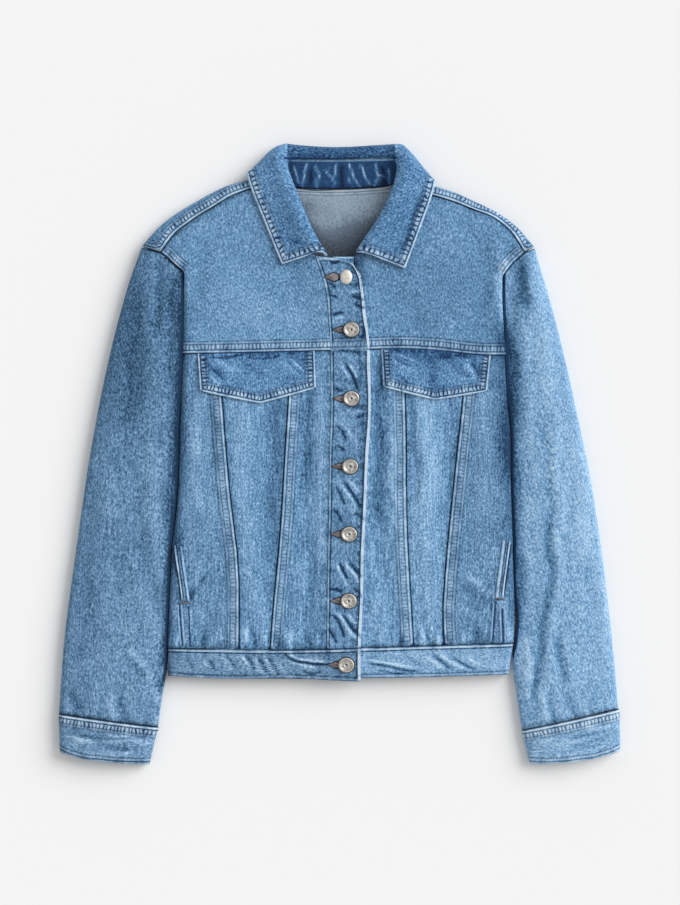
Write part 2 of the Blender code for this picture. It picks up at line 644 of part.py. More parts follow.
def hem_front(side):
    s = SIGN[side]
    edge = hem_edges[side]
    sheet = []
    if side == "right":
        stops = (placket_edges(-235.0)[1], placket_edges(-235.0)[1] - 3.0, 4.0, -14.0, -24.0, -38.0, -80.0, -130.0)
    else:
        stops = (-10.0, 18.0, 30.0, 44.0, 80.0, 120.0, 155.0)
    for v in spread(0.0, 1.0, steps=(4,)):
        row = []
        for x in stops:
            y = lerp(waist_seam(x) - GAP, edge(x), v)
            row.append((x, y, front_height(side, x, y), DOUBLE + 0.1))
        for a in (0.0, 0.25, 0.5, 0.75, 1.0):
            y = lerp(-218.0, -250.0, v)
            out, z = side_roll(y, DOUBLE, a)
            x = s * (edge_of(side, y) - DOUBLE - roll_radius(DOUBLE) + out)
            y = lerp(waist_seam(x) - GAP, edge(x), v)
            row.append((x, y, z, DOUBLE + 0.1 * (1.0 - a)))
        sheet.append(row)
    cloth("hem_" + side, [sheet])


# ---- back ---------------------------------------------------------------------------------------------------------

def side_seam(side, y, wall):
    """Distance of the side seam, or above the underarm of the back armhole, from the middle."""
    if y >= UNDERARM + 9.0:
        return armhole_of(side, y)
    return lerp(armhole_of(side, y), edge_of(side, y) - wall - roll_radius(wall) - CLEAR, parted(y))


def back_panel():
    sheet = []
    for y in spread(-219.0, 27.0, UNDERARM + 9.0, BACK_YOKE_SEAM - GAP, steps=(6, 3, 3)):
        half_right = -side_seam("right", y, CLOTH) + GAP
        half_left = side_seam("left", y, CLOTH) - GAP
        row = []
        for u in spread(0.0, 1.0, steps=(6,)):
            x = lerp(half_right, half_left, u)
            y_here = max(y, waist_seam(x) + GAP) if y < -215.0 else y
            row.append((x, y_here, CLOTH, CLOTH))
        sheet.append(row)
    cloth("back_panel", [sheet], faces_up=False)


def hem_back():
    sheet = []
    for v in (0.0, 0.5, 1.0):
        row = []
        for u in spread(0.0, 1.0, steps=(6,)):
            y0 = lerp(-218.0, -249.0, v)
            x = lerp(-side_seam("right", y0, DOUBLE) + GAP, side_seam("left", y0, DOUBLE) - GAP, u)
            y = lerp(waist_seam(x) - GAP, -249.6, v)
            row.append((x, y, DOUBLE, DOUBLE))
        sheet.append(row)
    cloth("hem_back", [sheet], faces_up=False)


def over_collar(x, y):
    """Rise of the back yoke over the collar leaf that lies under it."""
    return COLLAR_UNDER * smooth((y - 256.0) / 14.0) * smooth((134.0 - abs(x)) / 14.0)


def inward(fold, t, side):
    """Inward normal of a fold line at t."""
    ahead = fold(min(t + 0.02, 1.0)) - fold(max(t - 0.02, 0.0))
    normal = np.array((ahead[1], -ahead[0])) * (1.0 if side == "right" else -1.0)
    normal = normal / np.linalg.norm(normal)
    normal = lerp(np.array(CORNER_NORMAL[side]), normal, smooth(t / 0.15))
    return normal / np.linalg.norm(normal)


SHOULDER_STEPS = [1.0 - a for a in reversed(YOKE_COLUMNS[:7])]


def shoulder_column(side, t):
    """Points of the yoke at one place of the shoulder, from the back over the fold to the shoulder seam."""
    fold = path(SHOULDER_FOLD_RIGHT if side == "right" else SHOULDER_FOLD_LEFT)
    seam = path(SHOULDER_SEAM_RIGHT if side == "right" else SHOULDER_SEAM_LEFT)
    crest = fold(t)
    normal = inward(fold, t, side)
    seam_at = seam(t) - normal * CLEAR
    base = CLOTH + over_collar(*(crest + normal * 6.0))
    radius = 0.5 * (TOP - base)
    seam_inset = float(np.dot(seam_at - crest, normal))
    over = min(radius, seam_inset - CLOTH - 1.0)
    column = []
    for w in ROLL_STEPS:
        turn = math.pi * w
        inset = CLOTH + (radius if w < 0.5 else over) * (1.0 - math.sin(turn))
        spot = crest + normal * inset
        column.append((spot[0], spot[1], base + radius * (1.0 - math.cos(turn)), CLOTH))
    column.append((seam_at[0], seam_at[1], TOP + folds(*seam_at), CLOTH + LAP))
    return column


def back_yoke():
    """Flat back part, with a flap over each shoulder fold down to the forward shoulder seam."""
    columns = {side: [shoulder_column(side, t) for t in SHOULDER_STEPS] for side in SIGN}
    neck_right = columns["right"][-1][0]
    neck_left = columns["left"][-1][0]
    neck = path(((neck_right[0], neck_right[1]), (-65.8, 312.6), (-55.8, 301.8), (-48.0, BACK_NECK + 0.6),
                 (0.0, BACK_NECK), (48.0, BACK_NECK + 2.6), (57.8, 303.4), (66.8, 311.6),
                 (neck_left[0], neck_left[1])))
    tops = [column[0][:2] for column in columns["right"]]
    tops += [tuple(neck(k / 8.0)) for k in range(1, 8)]
    tops += [column[0][:2] for column in reversed(columns["left"])]
    count = len(tops)
    sheet = []
    for v in (0.0, 0.35, 0.68, 0.81, 0.91, 1.0):
        row = []
        for k, top in enumerate(tops):
            u = k / (count - 1)
            x0 = lerp(-armhole_of("right", BACK_YOKE_SEAM), armhole_of("left", BACK_YOKE_SEAM), u)
            x = lerp(x0, top[0], v)
            y = lerp(BACK_YOKE_SEAM, top[1], v)
            if k in (0, count - 1) and v < 1.0:
                end = "right" if k == 0 else "left"
                x = SIGN[end] * (armhole_of(end, y) - GAP)
            z = CLOTH + over_collar(x, y)
            if v == 1.0 and not len(columns["right"]) <= k < count - len(columns["left"]):
                side = "right" if k < count / 2 else "left"
                index = k if side == "right" else count - 1 - k
                z = columns[side][index][0][2]
            row.append((x, y, z, CLOTH))
        sheet.append(row)
    cloth("back_yoke", [sheet] + [list(columns[side]) for side in SIGN], faces_up=False)


# ---- sleeves ------------------------------------------------------------------------------------------------------


def sleeve_row(rows, t):
    inner_x, inner_y, outer_x, outer_y, back_y = rows(t)
    return np.array((inner_x, inner_y)), np.array((outer_x, outer_y)), back_y


def sleeve_rows(side):
    table = np.array(SLEEVE_RIGHT if side == "right" else SLEEVE_LEFT)
    knots = np.linspace(0.0, 1.0, len(table))
    return lambda t: hermite(knots, table, t)


def outer_normal(rows, t, side):
    """Inward normal of the outer edge of the sleeve."""
    a = rows(max(t - 0.01, 0.0))[2:4]
    b = rows(min(t + 0.01, 1.0))[2:4]
    run = b - a
    normal = np.array((-run[1], run[0])) * (1.0 if side == "right" else -1.0)
    normal = normal / np.linalg.norm(normal)
    normal = lerp(np.array(CORNER_NORMAL[side]), normal, smooth(t / 0.1))
    return normal / np.linalg.norm(normal)


def inner_roll(y, w):
    """Fold of the sleeve beside the body at w, 0 at its seam and 1 on top, (inset, height)."""
    low = 0.5 * (SLEEVE_LOW - CLOTH)
    turn = math.pi * (1.0 - w)
    full = np.array((INNER_ROLL * (1.0 - math.sin(turn)), CLOTH + low + low * math.cos(turn)))
    turn = 0.5 * math.pi * (1.0 - w)
    foot = CLOTH + STEP
    underarm = np.array((INNER_ROLL * (1.0 - math.sin(turn)), foot + (SLEEVE_LOW - foot) * math.cos(turn)))
    armhole = np.array((INNER_ROLL * w, lerp(8.4, SLEEVE_LOW - 0.4, w)))
    if y >= UNDERARM:
        return lerp(underarm, armhole, smooth((y - UNDERARM) / 22.0))
    return lerp(underarm, full, tucked(y))


def sleeve_section(side, rows, t):
    """Points (x, y, z) across the top of the sleeve, from its inner seam to its outer seam."""
    start, end, _ = sleeve_row(rows, t)
    normal = outer_normal(rows, t, side)
    radius = roll_radius(CLOTH)
    outer = [math.pi * w for w in (0.0, 0.2, 0.4, 0.6, 0.8, 1.0)]
    roll_start = end + normal * (CLOTH + radius)
    run = roll_start - start
    length = float(np.linalg.norm(run))
    way = run / length
    on_seam = 1.0 - smooth((t - 2.0 / 16.0) / (2.2 / 16.0))
    wall = CLOTH * (1.0 - on_seam)
    points = []
    begin = min(wall + INNER_ROLL, 0.5 * length)
    at_seam = TOP - 0.6 * smooth(length / 25.0)
    for w in (0.0, 0.25, 0.5, 0.75):
        inset, z = inner_roll(start[1], w)
        spot = start + way * (wall + inset) * begin / (wall + INNER_ROLL)
        points.append((spot[0], spot[1], lerp(z, at_seam, on_seam)))
    low = lerp(SLEEVE_LOW, at_seam, on_seam)
    for u in (0.0, 0.2, 0.45, 0.75):
        at = lerp(begin, length, u)
        rise = lerp(low, TOP, smooth((at - begin) / min(SLEEVE_RAMP, length - begin)))
        swell = SLEEVE_SWELL * math.sin(math.pi * u) * smooth(length / 90.0)
        spot = start + way * at
        points.append((spot[0], spot[1], rise + swell))
    for turn in outer:
        spot = end + normal * (CLOTH + radius * (1.0 - math.sin(turn)))
        points.append((spot[0], spot[1], CLOTH + radius + radius * math.cos(turn)))
    return points


def sleeve(side):
    rows = sleeve_rows(side)
    s = SIGN[side]
    steps = spread(0.0, 4 / 16, 8 / 16, 10 / 16, 15 / 16, 1.0, steps=(4, 3, 4, 5, 1))
    top = [[point + (CLOTH,) for point in sleeve_section(side, rows, t)] for t in steps]
    cloth("sleeve_top_" + side, [top])
    under = []
    for t in steps:
        start, end, back_y = sleeve_row(rows, t)
        normal = outer_normal(rows, t, side)
        outer = end + normal * (CLOTH + roll_radius(CLOTH) + GAP)
        inner = np.array((s * (armhole_of(side, back_y) + CLEAR), back_y))
        if back_y < UNDERARM + 9.0:
            way = (end - start) / np.linalg.norm(end - start)
            sunk = start + way * (CLOTH + INNER_ROLL + CLEAR)
            inner = lerp(inner, sunk, parted(back_y))
        under.append([(*lerp(inner, outer, u), CLOTH, CLOTH) for u in (0.0, 0.25, 0.5, 0.75, 1.0)])
    cloth("sleeve_under_" + side, [under], faces_up=False)


def cuff(side):
    top = path(CUFF_RIGHT_TOP if side == "right" else CUFF_LEFT_TOP)
    edge = path(CUFF_RIGHT_EDGE if side == "right" else CUFF_LEFT_EDGE)
    low = 0.5 * (SLEEVE_LOW - DOUBLE)
    radius = roll_radius(DOUBLE)
    sheet = []
    for v, thick in ((0.0, DOUBLE + 0.5), (0.24, DOUBLE + 0.5), (0.27, DOUBLE), (0.6, DOUBLE), (1.0, DOUBLE)):
        length = float(np.linalg.norm(lerp(top(1.0), edge(1.0), v) - lerp(top(0.0), edge(0.0), v)))
        loop = []
        for turn in [math.pi * (1.0 - w) for w in (0.0, 0.25, 0.5, 0.75)]:
            loop.append((DOUBLE + INNER_ROLL * (1.0 - math.sin(turn)), DOUBLE + low + low * math.cos(turn)))
        begin = DOUBLE + INNER_ROLL
        end = length - DOUBLE - radius
        for u in (0.0, 0.2, 0.45, 0.75):
            at = lerp(begin, end, u)
            rise = lerp(SLEEVE_LOW, TOP, smooth((at - begin) / SLEEVE_RAMP))
            loop.append((at, rise + SLEEVE_SWELL * math.sin(math.pi * u)))
        for turn in [math.pi * w for w in (0.0, 0.2, 0.4, 0.6, 0.8, 1.0)]:
            loop.append((length - DOUBLE - radius * (1.0 - math.sin(turn)), DOUBLE + radius + radius * math.cos(turn)))
        loop += [(lerp(end, begin, k / 4.0), DOUBLE) for k in (1, 2, 3)]
        loop.append(loop[0])
        row = []
        for at, z in loop:
            x, y = lerp(top(at / length), edge(at / length), v)
            row.append((x, y, z, thick if z > 6.0 else DOUBLE))
        sheet.append(row)
    cloth("cuff_" + side, [sheet], welded=True)


# ---- collar -------------------------------------------------------------------------------------------------------


def collar_stations():
    return [np.array(row) for row in COLLAR_RIGHT] + [np.array(row) for row in reversed(COLLAR_LEFT)]


def collar():
    stations = collar_stations()
    knots = np.arange(len(stations), dtype=float)
    rows = [hermite(knots, np.array([s.ravel() for s in stations]), at).reshape(6, 3)
            for at in spread(0.0, 4.0, 8.0, 12.0, 16.0, 20.0, steps=(5, 7, 5, 7, 5))]
    leaf = []
    stand = []
    for row in rows:
        profile = path(row[1:])
        points = [profile(t) for t in (0.0, 0.05, 0.11, 0.18, 0.3, 0.5, 0.75, 1.0)]
        leaf.append([(x, y, max(z, COLLAR_LOW), COLLAR_WALL) for x, y, z in points])
        low, high = row[0], row[1]
        high = high + (low - high) * (0.4 / max(float(np.linalg.norm(high - low)), 0.8))
        stand.append([(*lerp(low, high, t), CLOTH) for t in (0.0, 0.5, 1.0)])
    cloth("collar_leaf", [leaf])
    cloth("collar_stand", [stand])


# ---- buttons ------------------------------------------------------------------------------------------------------

def button(number, x, y):
    """Jeans button, a profile turned about its own axis."""
    profile = bpy.data.meshes.new(f"button_{number}")
    verts = [(r * MM, 0.0, z * MM) for r, z in BUTTON_PROFILE]
    profile.from_pydata(verts, [(k, k + 1) for k in range(len(verts) - 1)], [])
    obj = new_object(f"button_{number}", profile, "metal")
    turn = obj.modifiers.new("turn", "SCREW")
    turn.steps = 14
    turn.render_steps = 14
    turn.use_merge_vertices = True
    turn.merge_threshold = 1e-5
    turn.use_smooth_shade = True
    obj.location = (x * MM, y * MM, (front_height("right", x, y) + DOUBLE + GAP + 0.1) * MM)


# ---- build --------------------------------------------------------------------------------------------------------

for old in list(bpy.data.objects):
    bpy.data.objects.remove(old, do_unlink=True)

jacket = bpy.data.collections.new("denim_jacket")
bpy.context.scene.collection.children.link(jacket)

materials = {}
for label, colour in COLOURS.items():
    material = bpy.data.materials.new(label)
    material.use_nodes = True
    shader = material.node_tree.nodes["Principled BSDF"]
    shader.inputs["Base Color"].default_value = (*colour, 1.0)
    shader.inputs["Roughness"].default_value = 0.35 if label == "metal" else 0.9
    shader.inputs["Metallic"].default_value = 1.0 if label == "metal" else 0.0
    material.diffuse_color = (*colour, 1.0)
    materials[label] = material

for wearer_side in SIGN:
    front_centre(wearer_side)
    front_middle(wearer_side)
    front_side(wearer_side)
    front_yoke(wearer_side)
    flap(wearer_side)
    welt(wearer_side)
    hem_front(wearer_side)
    sleeve(wearer_side)
    cuff(wearer_side)
placket_right()
placket_left()
back_panel()
back_yoke()
hem_back()
collar()
for index, spot in enumerate(BUTTONS):
    button(index + 1, *spot)
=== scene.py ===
"""Looks of the denim jacket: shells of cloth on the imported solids, thread, buttons, floor, light and camera.

Every shell starts from its solid's own surface, is subdivided, and takes the creases of the laid-out jacket.
Seams are in millimetres of the row frame. Tables of creases, crumples and tones are on the pattern drawing's grid
(one unit 1.13 mm, X to the right, Y down), and on_plan() turns them into those millimetres. Meshes are in metres.
"""

import math

import bmesh
import bpy
import numpy as np
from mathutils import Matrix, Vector
from mathutils.bvhtree import BVHTree


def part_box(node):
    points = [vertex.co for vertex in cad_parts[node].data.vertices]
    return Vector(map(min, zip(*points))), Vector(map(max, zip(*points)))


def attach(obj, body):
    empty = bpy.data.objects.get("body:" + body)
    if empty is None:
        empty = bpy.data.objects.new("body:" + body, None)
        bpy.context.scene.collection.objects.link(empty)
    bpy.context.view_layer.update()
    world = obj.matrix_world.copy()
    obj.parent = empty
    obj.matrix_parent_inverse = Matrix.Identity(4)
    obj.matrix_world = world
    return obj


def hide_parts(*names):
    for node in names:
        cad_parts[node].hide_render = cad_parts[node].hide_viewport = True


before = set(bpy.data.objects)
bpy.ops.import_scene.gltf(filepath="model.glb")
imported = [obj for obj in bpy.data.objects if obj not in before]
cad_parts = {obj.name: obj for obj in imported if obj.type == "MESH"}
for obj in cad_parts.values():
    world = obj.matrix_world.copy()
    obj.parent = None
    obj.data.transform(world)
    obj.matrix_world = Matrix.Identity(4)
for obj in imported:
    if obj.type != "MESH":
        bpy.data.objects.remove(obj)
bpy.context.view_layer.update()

MM = 0.001
UNIT = 1.13                    # millimetres in a unit of the pattern drawing
MIDDLE = (339.65, 454.15)      # the row frame's origin on it
SHARP = math.radians(50.0)     # edges of the solids sharper than this stay sharp
CORNER = math.radians(11.0)    # and corners between them that turn more than this within the plan stay corners

# ---- seams, on the row frame in millimetres -----------------------------------------------------------------------

SEAMS = {
    "side_r": ((-113.9, -219), (-113.6, -170), (-114.5, -130), (-118.4, -90), (-123.4, -50), (-127.1, -10),
               (-132, 50), (-137, 115)),
    "centre_r": ((-78.4, -219), (-74.8, -170), (-70.9, -130), (-67.5, -90), (-64.6, -50), (-62.5, -10), (-58.6, 50),
                 (-55.5, 115)),
    "side_l": ((118.4, -216), (116.9, -190), (118.2, -150), (121.5, -110), (127.4, -50), (133.6, 10), (138, 50),
               (143.5, 115)),
    "centre_l": ((83.4, -217), (81.8, -190), (79.4, -150), (77.1, -110), (75.3, -50), (75, 10), (74.2, 50),
                 (72.5, 115)),
    "placket_in": ((-14.2, -219), (-13.8, -167), (-13.2, -117), (-12, -68), (-11.2, -1), (-9.4, 65), (-9.8, 98.5),
                   (-10.9, 134.6), (-12.4, 156), (-15.8, 189), (-21.5, 208), (-26.6, 221.5)),
    "placket_out": ((22.3, -256), (22.3, -217), (24.8, -167), (25.6, -117), (28, -68), (30.6, -1), (34, 65),
                    (32.6, 98.5), (31.5, 134.6), (28, 156), (24.6, 189), (21.4, 204), (15.2, 215.2)),
    "placket_top": ((-26.6, 221.5), (-6, 221), (6, 219.6), (15.2, 215.2)),
    "neck_l": ((16.8, 221.8), (24.6, 206), (27.6, 180)),
    "under_top": ((-16, 223.2), (18, 223.2)),
    "chest": ((-180, 113.8), (-90, 115.5), (-28.4, 117), (11.7, 118), (33.6, 118.7), (107.5, 118), (170.6, 112.2),
              (190, 112.6)),
    "waist": ((-196, -219.7), (0, -220), (30, -219), (198, -214)),
    "hem_r": ((-196, -250), (-130, -254), (-60, -253), (0, -255.5), (23, -256.3)),
    "hem_l": ((22, -252.6), (110, -251.2), (193, -248.6)),
    "shoulder_r": ((-201.4, 228.9), (-187.7, 248.3), (-173, 260), (-144, 278.5), (-112.6, 296), (-99, 300)),
    "shoulder_l": ((208, 228.9), (189.3, 256), (179.5, 264), (152, 275.6), (113.4, 290), (98, 293.5)),
    "armhole_r": ((-224.4, 234.2), (-214.2, 230.6), (-208.4, 229), (-202, 227.2), (-189.5, 216.5), (-177, 206)),
    "armhole_l": ((221.2, 233.2), (211.9, 228.9), (207, 225.9), (201.5, 221.3), (194, 213.8), (185.6, 202)),
    "cuff_top_r": ((-318.4, -293.6), (-262, -301.4), (-205.2, -309)),
    "cuff_top_l": ((206.2, -312.8), (261, -300.6), (316.8, -288)),
    "cuff_low_r": ((-317.4, -336), (-300, -342.4), (-270, -347), (-242, -349.6), (-214.6, -350.7)),
    "cuff_low_l": ((214.5, -350.2), (242, -349.8), (270, -346.8), (300, -341.2), (318.4, -334.6)),
    "flap_r": ((-160.3, 113), (-158.6, 90), (-157.4, 72), (-156.4, 71.2), (-89.7, 57.4), (-28.2, 74.2),
               (-27, 75.4), (-27.6, 96), (-28.4, 116)),
    "flap_l": ((47, 117), (48.2, 96), (49.3, 76.6), (50.2, 75.6), (107.5, 61.3), (165.6, 70.7),
               (166.4, 71.8), (168.4, 92), (170.6, 112)),
    "collar_r": ((-13.8, 223), (-20, 228), (-42, 221.4), (-65.2, 214.2), (-75, 238), (-86, 265.5), (-97, 292),
                 (-101.8, 306), (-104.6, 317)),
    "collar_l": ((17.2, 226.8), (25, 227), (47, 219.8), (73.8, 209.6), (82, 231.5), (91.8, 258), (101.6, 284.5),
                 (105.4, 297), (108, 308)),
    "collar_back": ((-102, 316), (-82, 295), (-38, 289), (0, 288), (38, 288), (84, 291), (105, 306.5)),
    "stand_top": ((-62, 333.4), (0, 333.2), (64, 334.4)),
    "stand_low": ((-54.5, 302.4), (-29, 301), (0, 300.8), (29, 302), (56.5, 304.2)),
    "back_yoke": ((-190, 150), (0, 150), (193, 150)),
    "back_hem": ((-195, -249), (0, -249.6), (195, -249)),
    "back_arm_r": ((-182.5, 54), (-183.6, 98), (-186.6, 124), (-190.5, 150), (-200.4, 190), (-215.8, 231)),
    "back_arm_l": ((193, 54), (190.8, 98), (191.2, 124), (193.2, 150), (200.4, 190), (212.8, 231)),
    "side_seam_r": ((-188, -216), (-185, -145), (-176.5, -58), (-174.5, 20)),
    "side_seam_l": ((190, -214), (189.5, -145), (187.8, -58), (186, 20)),
    "welt_r": ((-178, -104.5), (-169.2, -166.2)),
    "welt_l": ((184.9, -98.5), (176.3, -162.8)),
    "slant_r": ((-187.5, -102.8), (-179, -165.2)),
    "slant_l": ((193.9, -97), (185.3, -161.5)),
    "pocket_r": ((-180.9, -168.2), (-179.6, -190), (-177, -219)),
    "pocket_l": ((182.9, -168), (183.6, -190), (184.4, -214)),
    "pocket_in_r": ((-170.9, -170.5), (-169.5, -195), (-168.7, -219)),
    "pocket_in_l": ((176, -166), (174.4, -190), (172.7, -214.5)),
    "fold_r": ((-197.6, -256), (-195.3, -240), (-194.4, -214), (-191.7, -145), (-188.3, -90), (-183.4, -58.6),
               (-181.5, -24), (-181, 28), (-178.6, 83), (-177.2, 112), (-177, 139), (-176.5, 168), (-176, 203)),
    "fold_l": ((193, -256), (192.5, -240), (197.6, -214), (196.4, -145), (195.9, -90), (194.6, -58.6), (193.6, -24),
               (193, 28), (188.3, 83), (187.3, 112), (186.4, 139), (184.5, 168), (184.5, 200)),
}

# What a piece carries along its edges: seam, width of the stitched band, strength of the roping in it, pale worn
# rim, painted shade beside a lap, and how far the band starts inside a free edge
BANDS = {
    "front_side": (("side", 13.5, 0.7, 1.1, 0, 0), ("chest", 1, 0, 0, 1.0, 0), ("waist", 1, 0, 0, 0.85, 0),
                   ("slant", 1, 0, 0, 1.0, 0)),
    "front_middle": (("side", 1, 0, 0, 1.1, 0), ("centre", 1, 0, 0, 1.1, 0), ("chest", 1, 0, 0, 1.0, 0),
                     ("waist", 1, 0, 0, 0.85, 0)),
    "front_centre": (("centre", 13.5, 0.7, 1.1, 0, 0), ("chest", 1, 0, 0, 1.0, 0), ("waist", 1, 0, 0, 0.85, 0),
                     ("placket_in", 1, 0, 0, 0.15, 0)),
    "front_yoke": (("chest", 13.5, 1.2, 1.1, 0, 0.6), ("armhole", 11, 0.9, 0.9, 0, 0), ("shoulder", 1, 0, 0, 1.0, 0)),
    "flap": (("flap", 12.5, 1.5, 1.6, 0, 1.2), ("chest", 1, 0, 0, 1.5, 0)),
    "hem": (("waist", 3.4, 1.5, 1.0, 0, 0), ("hem", 5, 0.6, 0.3, 0.45, 0.3), ("placket_out", 4.4, 2.0, 2.3, 0, 1.1)),
    # the fold's shade column paints shade in the furrow between sleeve and body
    "sleeve_top": (("cuff_top", 1, 0, 0, 1.0, 0), ("armhole", 1, 0, 0, 1.1, 0), ("fold", 1, 0, 0, 2.2, -2.0)),
    "cuff": (("cuff_top", 12.5, 1.3, 1.6, 0, 0), ("cuff_low", 8, 0.9, 0.8, 0, 1.2)),
    "welt": (("slant", 4, 0.9, 1.5, 0, 0.8), ("welt", 4, 0.7, 0.8, 0, 0.8)),
}


def lengths(points):
    """Length of the way to each of the points."""
    return np.concatenate(([0.0], np.cumsum(np.linalg.norm(np.diff(points, axis=0), axis=1))))


def between(run, points, at):
    """Place at a length along points whose own lengths are run."""
    return np.interp(at, run, points[:, 0]), np.interp(at, run, points[:, 1])


def hermite(points, at):
    """Smooth curve through points at shares of its length from 0 to 1, and that length."""
    points = np.array(points, float)
    knots = lengths(points)
    steps = np.diff(knots)
    slopes = np.diff(points, axis=0) / steps[:, None]
    tangents = np.concatenate((slopes[:1], slopes[1:], slopes[-1:]))
    if len(steps) > 1:
        tangents[1:-1] = (slopes[1:] * steps[:-1, None] + slopes[:-1] * steps[1:, None]) / (
            steps[:-1] + steps[1:])[:, None]
    at = np.clip(at, 0.0, 1.0) * knots[-1]
    k = np.clip(np.searchsorted(knots, at) - 1, 0, len(steps) - 1)
    h = steps[k][:, None]
    s = ((at - knots[k]) / steps[k])[:, None]
    near = points[k] + tangents[k] * h * s
    far = points[k + 1] - tangents[k + 1] * h * (1.0 - s)
    blend = s * s * (3.0 - 2.0 * s)
    return near * (1.0 - blend) + far * blend, knots[-1]


def straight(points, at):
    """The same with straight runs between the points."""
    points = np.array(points, float)
    knots = lengths(points)
    return np.stack(between(knots, points, np.clip(at, 0.0, 1.0) * knots[-1]), axis=1), knots[-1]


class Line:
    """A seam as closely set points with directions and lengths, in millimetres."""

    def __init__(self, points, cornered, step=1.0):
        length = hermite(points, np.array([0.0]))[1]
        count = max(3, int(length / step) + 1)
        self.points = (straight if cornered else hermite)(points, np.linspace(0.0, 1.0, count))[0]
        ahead = np.gradient(self.points, axis=0)
        self.way = ahead / np.linalg.norm(ahead, axis=1)[:, None]
        self.run = lengths(self.points)

    def near(self, spots):
        """Distance to the line, and place along it, of each spot."""
        away = np.empty(len(spots))
        place = np.empty(len(spots))
        for a in range(0, len(spots), 4000):
            part = spots[a:a + 4000]
            gaps = ((part[:, None, :] - self.points[None, :, :]) ** 2).sum(axis=2)
            k = gaps.argmin(axis=1)
            off = part - self.points[k]
            along = (off * self.way[k]).sum(axis=1)
            across = np.abs(off[:, 0] * self.way[k, 1] - off[:, 1] * self.way[k, 0])
            inside = (k > 0) & (k < len(self.points) - 1)
            away[a:a + 4000] = np.where(inside, across, np.sqrt(gaps[np.arange(len(k)), k]))
            place[a:a + 4000] = self.run[k] + along
        return away, place

    def beside(self, offset):
        """The line moved to its left by offset."""
        return self.points + offset * np.stack((-self.way[:, 1], self.way[:, 0]), axis=1)


CORNERED = ("flap_r", "flap_l", "collar_r", "collar_l")
LINES = {name: Line(points, name in CORNERED) for name, points in SEAMS.items()}


def line_of(name, side):
    return LINES.get(name + "_" + side) or LINES.get(name)


# ---- creases ------------------------------------------------------------------------------------------------------

